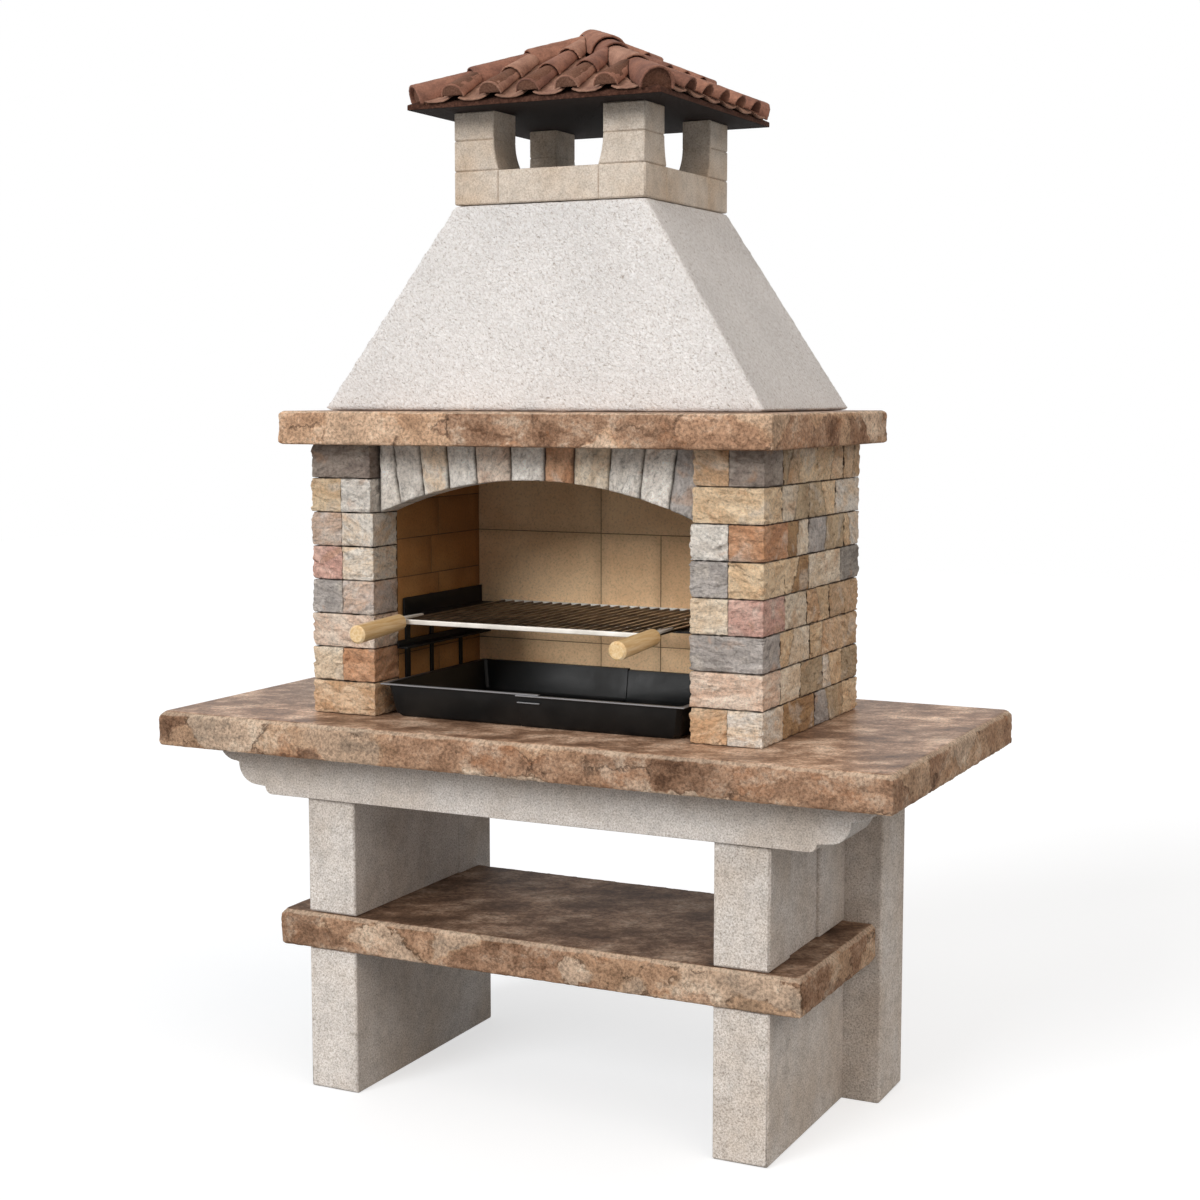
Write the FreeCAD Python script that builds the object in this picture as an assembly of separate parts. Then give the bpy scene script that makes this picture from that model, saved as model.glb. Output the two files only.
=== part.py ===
import FreeCAD, Part

import math
import os

# Masonry barbecue: two concrete legs, a stone shelf and worktop, a stone-clad firebox with an arch,
# a rendered hood, and a four-post chimney crown under a hipped tile roof.
# Millimetres, +Z up, front towards -Y. The worktop is centred on X.

V = FreeCAD.Vector

# Legs and base
LEG_INNER = 403.0
LEG_THICK = 116.0
PANEL_FRONT = -271.0
POST_FRONT = 156.0
POST_DEPTH = 148.0
POST_WIDTH = 196.0
LOWER_PANEL_HEIGHT = 304.0
BLOCK_DEPTH = 112.0
BACK_BLOCK_FRONT = 8.0
FILLER_RECESS = 9.0
ARRIS = 4.0

# Stone slabs
SHELF_SIDE_OVERHANG = 69.0
SHELF_FRONT_OVERHANG = 12.0
SHELF_TAIL = 90.0
SHELF_THICK = 76.0
SLAB_ARRIS = 10.0
SLAB_CORNER = 13.0
WORKTOP_WIDTH = 1600.0
WORKTOP_DEPTH = 816.0
WORKTOP_THICK = 72.0
WORKTOP_TOP = 805.0
MANTEL_SIDE_OVERHANG = 37.5
MANTEL_FRONT_OVERHANG = 60.0
MANTEL_BACK_OVERHANG = 61.0
MANTEL_THICK = 67.5
MANTEL_ARRIS = 5.0
MANTEL_CORNER = 12.0
SMOKE_SHELF_SIDE = 30.0
SMOKE_SHELF_DEPTH = 26.0

# Front lintel with ovolo-moulded ends, listed from the bottom: radius, then the fillet beside it
LINTEL_OVERHANG = 80.0
LINTEL_HEIGHT = 109.0
LINTEL_PROUD = 15.0
OVOLO_SMALL = 16.0
OVOLO_LARGE = 45.0
FILLET_SMALL = 7.0
FILLET_LARGE = 22.0
FILLET_UP = 2.0

# Firebox of stone courses
OPENING_WIDTH = 694.0
PILLAR_WIDTH = 155.5
FIREBOX_FRONT = -271.0
FIREBOX_DEPTH = 541.0
PILLAR_DEPTH = 96.0
STONE_LEAF = 75.0
COURSE_HEIGHT = 69.5
COURSES = 8
STONE_ARRIS = 4.0
VOUSSOIR_ARRIS = 2.0

# Arch of fanned voussoirs between the two top courses
ARCH_COURSES = 2
ARCH_BEARING = 6.0
ARCH_RECESS = 28.0
ARCH_RISE = 72.0
FAN_DEPTH = 2050.0
VOUSSOIR_WIDTHS = (50.0, 56.0, 59.0, 63.0, 77.0, 75.0, 63.0, 75.0, 67.0, 61.0, 60.0)

# Firebrick lining
LINING_RECESS = 3.0
BRICK_HEIGHT = 80.0
FIRST_BRICK_HEIGHT = 38.0
LAST_BRICK_LEAST = 10.0
BACK_SLAB_THICK = 40.0
BACK_SLAB_COURSES = 3
REAR_PANEL_THICK = 63.0
BRICK_ARRIS = 1.0
BRICK_JOINTS = (135.0, 165.0)
BACK_JOINTS = (-49.0, 93.0)

# Hood and crown
HOOD_SIDE_SET = 52.0
HOOD_FRONT_SET = 94.0
HOOD_BACK_SET = 91.0
HOOD_HEIGHT = 410.0
HOOD_WALL = 45.0
CROWN_WIDTH = 422.0
CROWN_DEPTH = 410.0
RING_HEIGHT = 66.0
RING_CORNER = 100.0
POST_SIDE = 91.0
REAR_POST_WIDTH = 64.0
LOWER_POST_HEIGHT = 60.0
UPPER_POST_HEIGHT = 56.0
POST_FLARE = 11.0
CROWN_ARRIS = 2.5

# Hipped roof
ROOF_HALF = 276.0
ROOF_EDGE = 10.0
ROOF_RISE = 134.0
TILE_PITCH = 83.0
TILE_MARGIN = 60.0
COVER_RADIUS = 27.0
COVER_LENGTH = 118.0
COVER_LAP = 22.0
TILE_THICK = 5.0
TILE_FACETS = 9
PAN_FACETS = 4
TILE_OVERHANG = 6.0
PAN_RADIUS = 80.0
PAN_HALF = 31.0
HIP_RADIUS = 36.0
HIP_THICK = 6.0
HIP_LENGTH = 150.0
HIP_LAP = 24.0
HIP_START = 18.0
APEX_LENGTH = 120.0
APEX_PAST = 20.0
TILE_BED = 0.2

# Side racks of folded steel
RACK_SHEET = 4.0
LEDGE_WIDTH = 74.0
LEDGE_HEIGHT = 199.0
LEDGE_LIP = 36.0
LOWER_RAIL_HEIGHT = 136.0
LOWER_RAIL_LIP = 12.0
LOWER_RAIL_WIDTH = 22.0
RACK_FRONT_SET = 11.0
RACK_BACK_SET = 4.0
LOWER_RAIL_PROUD = 13.0
FRONT_UPRIGHT_SET = 12.0
FRONT_UPRIGHT_WIDTH = 18.0
UPRIGHT_WIDTH = 12.0
REAR_UPRIGHT_SET = 80.0
MIDDLE_UPRIGHT_SHARE = 0.45

# Grill
GRILL_BEARING = 22.0
GRILL_PROUD = 1.0
GRILL_BACK_CLEAR = 3.0
BAR_SHEET = 5.0
BAR_HEIGHT = 10.0
BAR_ARRIS = 1.25
ROD_DIAMETER = 6.0
ROD_COUNT = 25
ROD_FACETS = 8
CROSS_ROD_STARTS = (142.0, 322.0)
CROSS_ROD_CLEAR = 6.0
TANG_WIDTH = 18.0
TANG_SHEET = 4.0
TANG_LAP = 80.0
TANG_TIP = 5.0
TANG_IN_GRIP = 45.0
GRIP_LENGTH = 164.0
GRIP_RADIUS = 18.5
GRIP_NECK_RADIUS = 16.5
GRIP_FACETS = 20
GRIP_NECK_ROUND = 6.0
GRIP_END_ROUND = 4.0
GRIP_GAP = 4.0
GRIP_DROP = 7.0
GRIP_DROOP = 3.0

# Charcoal tray in two telescoping halves
TRAY_SIDE_CLEAR = 7.0
TRAY_FRONT_SET = 3.0
TRAY_BACK_CLEAR = 7.0
TRAY_HEIGHT = 68.0
TRAY_FLARE = 12.0
TRAY_SHEET = 1.5
TRAY_BEND = 9.0
TRAY_RIM = 10.0
TRAY_RIM_SHEET = 2.6
TRAY_RIM_ARRIS = 0.8
TRAY_SPLIT = 26.0
TRAY_LAP = 50.0
PULL_LIP_REACH = 6.0
PULL_LIP_SHEET = 2.0
PULL_LIP_DROP = 14.0

# Running clearances
SLIDE_GAP = 0.3
WELD_GAP = 0.2
CUT_PAST = 1.0

# Levels that follow from the sizes above
WORKTOP_UNDER = WORKTOP_TOP - WORKTOP_THICK
SHELF_TOP = LOWER_PANEL_HEIGHT + SHELF_THICK
LINTEL_BOTTOM = WORKTOP_UNDER - LINTEL_HEIGHT
LEG_OUTER = LEG_INNER + LEG_THICK
FIREBOX_TOP = WORKTOP_TOP + COURSES * COURSE_HEIGHT
SPRING_LEVEL = FIREBOX_TOP - ARCH_COURSES * COURSE_HEIGHT
MANTEL_TOP = FIREBOX_TOP + MANTEL_THICK
HOOD_TOP = MANTEL_TOP + HOOD_HEIGHT
RING_TOP = HOOD_TOP + RING_HEIGHT
LOWER_POST_TOP = RING_TOP + LOWER_POST_HEIGHT
ROOF_UNDER = LOWER_POST_TOP + UPPER_POST_HEIGHT
ROOF_EAVE = ROOF_UNDER + ROOF_EDGE
OPENING_HALF = OPENING_WIDTH / 2
WALL_HALF = OPENING_HALF + PILLAR_WIDTH
LEAF_INNER = WALL_HALF - STONE_LEAF
LINING_FACE = OPENING_HALF + LINING_RECESS
PILLAR_BACK = FIREBOX_FRONT + PILLAR_DEPTH
FIREBOX_BACK = FIREBOX_FRONT + FIREBOX_DEPTH
BACK_SLAB_BACK = FIREBOX_BACK - REAR_PANEL_THICK
CHAMBER_BACK = BACK_SLAB_BACK - BACK_SLAB_THICK
MANTEL_HALF = WALL_HALF + MANTEL_SIDE_OVERHANG
MANTEL_FRONT = FIREBOX_FRONT - MANTEL_FRONT_OVERHANG
MANTEL_BACK = FIREBOX_BACK + MANTEL_BACK_OVERHANG
HOOD_HALF = MANTEL_HALF - HOOD_SIDE_SET
HOOD_FRONT = MANTEL_FRONT + HOOD_FRONT_SET
HOOD_BACK = MANTEL_BACK - HOOD_BACK_SET
CROWN_FRONT = HOOD_BACK - CROWN_DEPTH
CROWN_MIDDLE = (CROWN_FRONT + HOOD_BACK) / 2

# Levels and reaches of what stands inside the firebox
LEDGE_TOP = WORKTOP_TOP + LEDGE_HEIGHT
LOWER_RAIL_TOP = WORKTOP_TOP + LOWER_RAIL_HEIGHT
RACK_TOP = LEDGE_TOP + LEDGE_LIP
RACK_FRONT = PILLAR_BACK + RACK_FRONT_SET
RACK_BACK = CHAMBER_BACK - RACK_BACK_SET
LOWER_RAIL_FRONT = PILLAR_BACK - LOWER_RAIL_PROUD
LEDGE_INNER = LINING_FACE - 2 * RACK_SHEET - LEDGE_WIDTH
GRILL_HALF = LEDGE_INNER + GRILL_BEARING
GRILL_FRONT = FIREBOX_FRONT - GRILL_PROUD
GRILL_BACK = RACK_BACK - GRILL_BACK_CLEAR
TRAY_HALF = OPENING_HALF - TRAY_SIDE_CLEAR - TRAY_RIM - TRAY_FLARE
TRAY_FRONT = FIREBOX_FRONT + TRAY_FRONT_SET + TRAY_RIM + TRAY_FLARE
TRAY_BACK = CHAMBER_BACK - TRAY_BACK_CLEAR - TRAY_RIM - TRAY_FLARE
ROD_RADIUS = ROD_DIAMETER / 2
ROD_LEVEL = LEDGE_TOP + SLIDE_GAP + ROD_RADIUS

# The frame's origin lies under the middle of the whole outline, handles included
GRIP_START = GRILL_FRONT - GRIP_GAP
GRIP_ANGLE = math.radians(GRIP_DROOP)
GRIP_END_RADIUS = GRIP_RADIUS - GRIP_END_ROUND
GRIP_REACH = GRIP_LENGTH * math.cos(GRIP_ANGLE) + GRIP_END_RADIUS * math.sin(GRIP_ANGLE)
FRONT_REACH = max(WORKTOP_DEPTH / 2, GRIP_REACH - GRIP_START)
FRAME_SHIFT = (FRONT_REACH - WORKTOP_DEPTH / 2) / 2


def box(x0, x1, y0, y1, z0, z1):
    return Part.makeBox(x1 - x0, y1 - y0, z1 - z0, V(x0, y0, z0))


def prism(points, z0, z1):
    """Upright prism on a plan outline of (x, y) points."""
    corners = [V(x, y, z0) for x, y in points]
    return Part.Face(Part.makePolygon(corners + corners[:1])).extrude(V(0, 0, z1 - z0))


def flat_face(points):
    return Part.Face(Part.makePolygon(points + points[:1]))


def solid_through(rings):
    """Flat-faced solid through closed outlines with as many points each, in order from end to end."""
    faces = [flat_face(rings[0]), flat_face(rings[-1])]
    for low, high in zip(rings, rings[1:]):
        for here in range(len(low)):
            after = (here + 1) % len(low)
            faces.append(flat_face([low[here], low[after], high[after], high[here]]))
    solid = Part.makeSolid(Part.makeShell(faces))
    if solid.Volume < 0:
        solid.reverse()
    return solid


def mirrored(shape):
    return shape.mirror(V(0, 0, 0), V(1, 0, 0))


def on_plane(edge, axis, value):
    return all(abs(getattr(vertex.Point, axis) - value) < 1e-6 for vertex in edge.Vertexes)


def eased(shape, planes, size):
    """Shape with a small chamfer on every edge that lies in one of the planes, given as axis and value."""
    edges = [edge for edge in shape.Edges if any(on_plane(edge, axis, value) for axis, value in planes)]
    return shape.makeChamfer(size, edges)


def export(name, shapes):
    shapes = shapes if isinstance(shapes, list) else [shapes]
    solids = [solid for shape in shapes for solid in shape.Solids]
    whole = solids[0] if len(solids) == 1 else Part.makeCompound(solids)
    whole.translate(V(0, FRAME_SHIFT, 0))
    whole.exportStep("parts/" + name + ".step")


def export_pair(name, shapes):
    """A right-hand piece and its mirror image on the left."""
    shapes = shapes if isinstance(shapes, list) else [shapes]
    export("right_" + name, [shape.copy() for shape in shapes])
    export("left_" + name, [mirrored(shape) for shape in shapes])


# Concrete legs

def leg_block(x1, y0, y1, z0, z1, planes):
    return eased(box(LEG_INNER, x1, y0, y1, z0, z1), planes, ARRIS)


def make_legs():
    outer = LEG_OUTER
    post_back = POST_FRONT + POST_DEPTH
    post_outer = LEG_INNER + POST_WIDTH
    block_back = PANEL_FRONT + BLOCK_DEPTH
    sides = [("x", outer), ("y", PANEL_FRONT)]
    lower = leg_block(outer, PANEL_FRONT, POST_FRONT, 0, LOWER_PANEL_HEIGHT, sides)
    export_pair("lower_panel", lower)
    post_sides = [("x", post_outer), ("y", post_back)]
    post = leg_block(post_outer, POST_FRONT, post_back, 0, WORKTOP_UNDER, post_sides)
    export_pair("rear_post", post)
    front = leg_block(outer, PANEL_FRONT, block_back, SHELF_TOP, LINTEL_BOTTOM, sides)
    export_pair("front_block", front)
    filler_outer = outer - FILLER_RECESS
    filler = box(LEG_INNER, filler_outer, block_back, BACK_BLOCK_FRONT, SHELF_TOP, WORKTOP_UNDER)
    export_pair("filler_panel", filler)
    back = leg_block(outer, BACK_BLOCK_FRONT, POST_FRONT, SHELF_TOP, WORKTOP_UNDER, [("x", outer)])
    export_pair("back_block", back)


# Stone slabs with clipped corners and eased top edges

def clipped(x, y0, y1, clip):
    """Plan outline of a slab of half width x, its four corners clipped."""
    return [(-x + clip, y0), (x - clip, y0), (x, y0 + clip), (x, y1 - clip),
            (x - clip, y1), (-x + clip, y1), (-x, y1 - clip), (-x, y0 + clip)]


def make_worktop():
    half_depth = WORKTOP_DEPTH / 2
    outline = clipped(WORKTOP_WIDTH / 2, -half_depth, half_depth, SLAB_CORNER)
    slab = prism(outline, WORKTOP_UNDER, WORKTOP_TOP)
    export("worktop", eased(slab, [("z", WORKTOP_TOP)], SLAB_ARRIS))


def make_shelf():
    x = LEG_OUTER + SHELF_SIDE_OVERHANG
    front = PANEL_FRONT - SHELF_FRONT_OVERHANG
    tail = POST_FRONT + SHELF_TAIL
    right = [(x - SLAB_CORNER, front), (x, front + SLAB_CORNER), (x, POST_FRONT),
             (LEG_INNER, POST_FRONT), (LEG_INNER, tail)]
    left = [(-across, along) for across, along in reversed(right)]
    slab = prism(right + left, LOWER_PANEL_HEIGHT, SHELF_TOP)
    top = [edge for edge in slab.Edges if on_plane(edge, "z", SHELF_TOP)]
    free = [edge for edge in top if edge.BoundBox.YMin < POST_FRONT - SLAB_CORNER]
    export("shelf", slab.makeChamfer(SLAB_ARRIS, free))


def make_mantel():
    outline = clipped(MANTEL_HALF, MANTEL_FRONT, MANTEL_BACK, MANTEL_CORNER)
    slab = eased(prism(outline, FIREBOX_TOP, MANTEL_TOP), [("z", MANTEL_TOP)], MANTEL_ARRIS)
    half = LINING_FACE - SMOKE_SHELF_SIDE
    hole = box(-half, half, PILLAR_BACK + SMOKE_SHELF_DEPTH, CHAMBER_BACK - SMOKE_SHELF_DEPTH,
               FIREBOX_TOP - CUT_PAST, MANTEL_TOP + CUT_PAST)
    export("mantel", slab.cut(hole))


# Front lintel

def quarter_round(x, z, radius):
    """Convex quarter from (x, z), bulging down and outwards, to (x + radius, z + radius)."""
    bulge = radius * math.sqrt(0.5)
    middle = V(x + bulge, 0, z + radius - bulge)
    return Part.Arc(V(x, 0, z), middle, V(x + radius, 0, z + radius)).toShape()


def make_lintel():
    last = LINTEL_HEIGHT - OVOLO_SMALL - OVOLO_LARGE - 2 * FILLET_UP
    half = LEG_OUTER + LINTEL_OVERHANG
    edges = []
    point = V(half, 0, LINTEL_BOTTOM)
    for radius, out in ((OVOLO_SMALL, FILLET_LARGE), (OVOLO_LARGE, FILLET_SMALL), (last, 0)):
        edges.append(quarter_round(point.x, point.z, radius))
        point = V(point.x + radius, 0, point.z + radius)
        if out:
            step = V(point.x + out, 0, point.z + FILLET_UP)
            edges.append(Part.makeLine(point, step))
            point = step
    left_edges = [mirrored(edge) for edge in edges]
    bottom = Part.makeLine(V(-half, 0, LINTEL_BOTTOM), V(half, 0, LINTEL_BOTTOM))
    top = Part.makeLine(V(-point.x, 0, point.z), V(point.x, 0, point.z))
    outline = Part.Wire(Part.__sortEdges__(edges + left_edges + [bottom, top]))
    front = PANEL_FRONT - LINTEL_PROUD
    profile = Part.Face(outline)
    profile.translate(V(0, front, 0))
    export("front_lintel", profile.extrude(V(0, BLOCK_DEPTH + LINTEL_PROUD, 0)))


# Stone courses. Each row lists the joints along the side wall, as shares of its length from the front,
# and whether the pillar's face is split into two stones in that course.

RIGHT_COURSES = (
    (True, (0.21, 0.53, 0.84)),
    (False, (0.38, 0.61, 0.82)),
    (False, (0.47, 0.74)),
    (True, (0.22, 0.44, 0.68, 0.85)),
    (True, (0.21, 0.45, 0.79)),
    (True, (0.24, 0.45, 0.83)),
    (False, (0.45, 0.73)),
    (True, (0.19, 0.35, 0.54, 0.82)),
)
LEFT_COURSES = (
    (False, (0.43, 0.70)),
    (True, (0.22, 0.47, 0.80)),
    (False, (0.40, 0.62, 0.83)),
    (True, (0.20, 0.51, 0.78)),
    (True, (0.23, 0.42, 0.66, 0.84)),
    (True, (0.21, 0.49, 0.81)),
    (True, (0.24, 0.56, 0.76)),
    (False, (0.37, 0.60, 0.82)),
)


def stone(x0, x1, y0, y1, z0, planes):
    return eased(box(x0, x1, y0, y1, z0, z0 + COURSE_HEIGHT), planes, STONE_ARRIS)


def lay_wall(courses):
    """Pillar stones and side stones of the right-hand wall, laid course by course."""
    pillar = []
    side = []
    outer = ("x", WALL_HALF)
    front = ("y", FIREBOX_FRONT)
    for number, (split, shares) in enumerate(courses):
        level = WORKTOP_TOP + number * COURSE_HEIGHT
        joints = [FIREBOX_FRONT + share * FIREBOX_DEPTH for share in shares]
        in_arch = number >= COURSES - ARCH_COURSES
        inner = OPENING_HALF + (ARCH_BEARING if in_arch else 0)
        start = PILLAR_BACK
        if split:
            pillar.append(stone(inner, LEAF_INNER, FIREBOX_FRONT, PILLAR_BACK, level, [front]))
            start = joints.pop(0)
            pillar.append(stone(LEAF_INNER, WALL_HALF, FIREBOX_FRONT, start, level, [front, outer]))
        else:
            pillar.append(stone(inner, WALL_HALF, FIREBOX_FRONT, PILLAR_BACK, level, [front, outer]))
        for end in joints:
            side.append(stone(LEAF_INNER, WALL_HALF, start, end, level, [outer]))
            start = end
        back = ("y", FIREBOX_BACK)
        side.append(stone(LEAF_INNER, WALL_HALF, start, FIREBOX_BACK, level, [outer, back]))
    return pillar, side


def make_stone_walls():
    pillar, side = lay_wall(RIGHT_COURSES)
    export("right_pillar_stones", pillar)
    export("right_side_stones", side)
    pillar, side = lay_wall(LEFT_COURSES)
    export("left_pillar_stones", [mirrored(piece) for piece in pillar])
    export("left_side_stones", [mirrored(piece) for piece in side])


# Arch

def make_arch():
    half = OPENING_HALF + ARCH_BEARING
    radius = (half ** 2 + ARCH_RISE ** 2) / (2 * ARCH_RISE)
    centre = SPRING_LEVEL + ARCH_RISE - radius
    fan_point = SPRING_LEVEL - FAN_DEPTH
    front = FIREBOX_FRONT + ARCH_RECESS
    scale = 2 * half / sum(VOUSSOIR_WIDTHS)

    def soffit(x):
        return V(x, front, centre + math.sqrt(radius ** 2 - x ** 2))

    def crown_end(x):
        """Point at the arch's top on the fan line that passes through x on the soffit."""
        if abs(abs(x) - half) < 1e-6:
            return V(x, front, FIREBOX_TOP)
        foot = soffit(x)
        return V(x * (FIREBOX_TOP - fan_point) / (foot.z - fan_point), front, FIREBOX_TOP)

    stones = []
    left = -half
    for width in VOUSSOIR_WIDTHS:
        right = left + width * scale
        if half - right < 1e-6:
            right = half
        edges = [
            Part.Arc(soffit(left), soffit((left + right) / 2), soffit(right)).toShape(),
            Part.makeLine(soffit(right), crown_end(right)),
            Part.makeLine(crown_end(right), crown_end(left)),
            Part.makeLine(crown_end(left), soffit(left)),
        ]
        piece = Part.Face(Part.Wire(edges)).extrude(V(0, PILLAR_BACK - front, 0))
        stones.append(eased(piece, [("y", front)], VOUSSOIR_ARRIS))
        left = right
    export("arch_voussoirs", stones)


# Firebrick lining and rear panels

def brick_levels():
    """Bed joints of the lining from the hearth up to the mantel."""
    levels = [WORKTOP_TOP]
    level = WORKTOP_TOP + FIRST_BRICK_HEIGHT
    while level < FIREBOX_TOP - LAST_BRICK_LEAST:
        levels.append(level)
        level += BRICK_HEIGHT
    return levels + [FIREBOX_TOP]


def make_lining():
    levels = brick_levels()
    bricks = []
    for number, (low, high) in enumerate(zip(levels, levels[1:])):
        joint = PILLAR_BACK + BRICK_JOINTS[number % len(BRICK_JOINTS)]
        for y0, y1 in ((PILLAR_BACK, joint), (joint, CHAMBER_BACK)):
            brick = box(LINING_FACE, LEAF_INNER, y0, y1, low, high)
            bricks.append(eased(brick, [("x", LINING_FACE)], BRICK_ARRIS))
    export_pair("firebricks", bricks)
    slabs = []
    rows = levels[:1] + levels[2:-1:BACK_SLAB_COURSES] + levels[-1:]
    for low, high in zip(rows, rows[1:]):
        joints = BACK_JOINTS if high < FIREBOX_TOP else BACK_JOINTS[:1]
        ends = [-LEAF_INNER] + list(joints) + [LEAF_INNER]
        for x0, x1 in zip(ends, ends[1:]):
            slab = box(x0, x1, CHAMBER_BACK, BACK_SLAB_BACK, low, high)
            slabs.append(eased(slab, [("y", CHAMBER_BACK)], BRICK_ARRIS))
    export("back_firebricks", slabs)
    middle = (WORKTOP_TOP + FIREBOX_TOP) / 2
    panels = []
    for low, high in ((WORKTOP_TOP, middle), (middle, FIREBOX_TOP)):
        panel = box(-LEAF_INNER, LEAF_INNER, BACK_SLAB_BACK, FIREBOX_BACK, low, high)
        panels.append(eased(panel, [("y", FIREBOX_BACK)], ARRIS))
    export("rear_panels", panels)


# Hood

def rectangle(x, y0, y1, z):
    return [V(-x, y0, z), V(x, y0, z), V(x, y1, z), V(-x, y1, z)]


def make_hood():
    top_half = CROWN_WIDTH / 2
    wall = HOOD_WALL
    base = rectangle(HOOD_HALF, HOOD_FRONT, HOOD_BACK, MANTEL_TOP)
    top = rectangle(top_half, CROWN_FRONT, HOOD_BACK, HOOD_TOP)
    inner_base = rectangle(HOOD_HALF - wall, HOOD_FRONT + wall, HOOD_BACK - wall, MANTEL_TOP)
    inner_top = rectangle(top_half - wall, CROWN_FRONT + wall, HOOD_BACK - wall, HOOD_TOP)
    export("hood", solid_through([base, top]).cut(solid_through([inner_base, inner_top])))


# Chimney crown

def make_ring():
    half = CROWN_WIDTH / 2
    inner = half - RING_CORNER
    front_run = CROWN_FRONT + RING_CORNER
    back_run = HOOD_BACK - RING_CORNER
    sides = [("x", half), ("x", -half), ("y", CROWN_FRONT), ("y", HOOD_BACK)]
    corners = []
    for x0, x1 in ((-half, -inner), (inner, half)):
        for y0, y1 in ((CROWN_FRONT, front_run), (back_run, HOOD_BACK)):
            corners.append(eased(box(x0, x1, y0, y1, HOOD_TOP, RING_TOP), sides, CROWN_ARRIS))
    export("crown_corner_blocks", corners)
    wall = HOOD_WALL
    middles = [
        box(-inner, inner, CROWN_FRONT, CROWN_FRONT + wall, HOOD_TOP, RING_TOP),
        box(-inner, inner, HOOD_BACK - wall, HOOD_BACK, HOOD_TOP, RING_TOP),
        box(half - wall, half, front_run, back_run, HOOD_TOP, RING_TOP),
        box(-half, -half + wall, front_run, back_run, HOOD_TOP, RING_TOP),
    ]
    export("crown_middle_blocks", [eased(piece, sides, CROWN_ARRIS) for piece in middles])


def flare_profile(width, height):
    """Outline of a post block: straight outside, flared in at the foot of the inside on one arc."""
    radius = (height ** 2 + POST_FLARE ** 2) / (2 * POST_FLARE)
    middle_height = height / 2
    middle_in = radius - math.sqrt(radius ** 2 - middle_height ** 2)
    foot = V(-width - POST_FLARE, 0, 0)
    neck = V(-width, 0, height)
    arc = Part.Arc(neck, V(-width - middle_in, 0, height - middle_height), foot).toShape()
    edges = [
        Part.makeLine(V(0, 0, 0), V(0, 0, height)),
        Part.makeLine(V(0, 0, height), neck),
        arc,
        Part.makeLine(foot, V(0, 0, 0)),
    ]
    return Part.Face(Part.Wire(edges))


def flared_post(width):
    """Block for the corner at +X and +Y, its outer edge on the origin."""
    reach = POST_SIDE + POST_FLARE
    across = flare_profile(width, LOWER_POST_HEIGHT).extrude(V(0, reach, 0))
    across.translate(V(0, -reach, 0))
    along = flare_profile(POST_SIDE, LOWER_POST_HEIGHT).extrude(V(0, reach, 0))
    along.translate(V(0, -reach, 0))
    along.rotate(V(0, 0, 0), V(0, 0, 1), 90)
    return across.common(mirrored(along))


def make_posts():
    half = CROWN_WIDTH / 2
    lower = []
    upper = []
    sides = [("x", 0.0), ("y", 0.0)]
    for flip_x in (False, True):
        for flip_y, width in ((False, REAR_POST_WIDTH), (True, POST_SIDE)):
            block = flared_post(width)
            straight = box(-width, 0, -POST_SIDE, 0, 0, UPPER_POST_HEIGHT)
            for piece, level, group in ((block, RING_TOP, lower), (straight, LOWER_POST_TOP, upper)):
                post = eased(piece, sides, CROWN_ARRIS)
                post.translate(V(half, HOOD_BACK - CROWN_MIDDLE, level))
                if flip_x:
                    post = mirrored(post)
                if flip_y:
                    post = post.mirror(V(0, 0, 0), V(0, 1, 0))
                post.translate(V(0, CROWN_MIDDLE, 0))
                group.append(post)
    export("crown_lower_posts", lower)
    export("crown_upper_posts", upper)


# Tile roof. Every tile is laid on the front slope or the front hip about the roof's own axis,
# and the other three sides are turned copies.

SLOPE = math.atan2(ROOF_RISE, ROOF_HALF)
SLOPE_LENGTH = math.hypot(ROOF_RISE, ROOF_HALF)
SIDE_COLUMNS = int((ROOF_HALF - TILE_MARGIN) / TILE_PITCH)
COVER_STEP = COVER_LENGTH - COVER_LAP
HIP_RUN = ROOF_HALF * math.sqrt(2)
HIP_SLOPE = math.atan2(ROOF_RISE, HIP_RUN)
HIP_LINE = math.hypot(ROOF_RISE, HIP_RUN)
HIP_STEP = HIP_LENGTH - HIP_LAP
HIP_TILES = math.ceil((HIP_LINE - HIP_START - HIP_LAP) / HIP_STEP)
ROOF_SIDES = (("front", 0), ("right", 90), ("back", 180), ("left", 270))


def lap_taper(thick, lap, length):
    """Taper at which each tile's wide end goes over the narrow end of the one below it."""
    return (thick + TILE_BED) / (1 - 2 * lap / length)


COVER_TAPER = lap_taper(TILE_THICK, COVER_LAP, COVER_LENGTH)
HIP_TAPER = lap_taper(HIP_THICK, HIP_LAP, HIP_LENGTH)


def roof_bed():
    """Slab with a low square pyramid on it."""
    half = ROOF_HALF
    corners = [V(-half, -half, 0), V(half, -half, 0), V(half, half, 0), V(-half, half, 0)]
    low = [corner + V(0, 0, ROOF_UNDER) for corner in corners]
    eave = [corner + V(0, 0, ROOF_EAVE) for corner in corners]
    apex = V(0, 0, ROOF_EAVE + ROOF_RISE)
    faces = [flat_face(low)]
    for here in range(len(corners)):
        after = (here + 1) % len(corners)
        faces.append(flat_face([low[here], low[after], eave[after], eave[here]]))
        faces.append(flat_face([eave[here], eave[after], apex]))
    solid = Part.makeSolid(Part.makeShell(faces))
    if solid.Volume < 0:
        solid.reverse()
    return solid


def front_wedge(gap):
    """Upright wedge over one quarter of the roof, its edges on the diagonals and set back by the gap."""
    reach = 2 * ROOF_HALF
    points = [(0, -gap), (reach - gap, -reach), (gap - reach, -reach)]
    return prism(points, ROOF_UNDER - ROOF_RISE, ROOF_EAVE + 2 * ROOF_RISE)


def largest(shape):
    return max(shape.Solids, key=lambda solid: solid.Volume)


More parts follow.
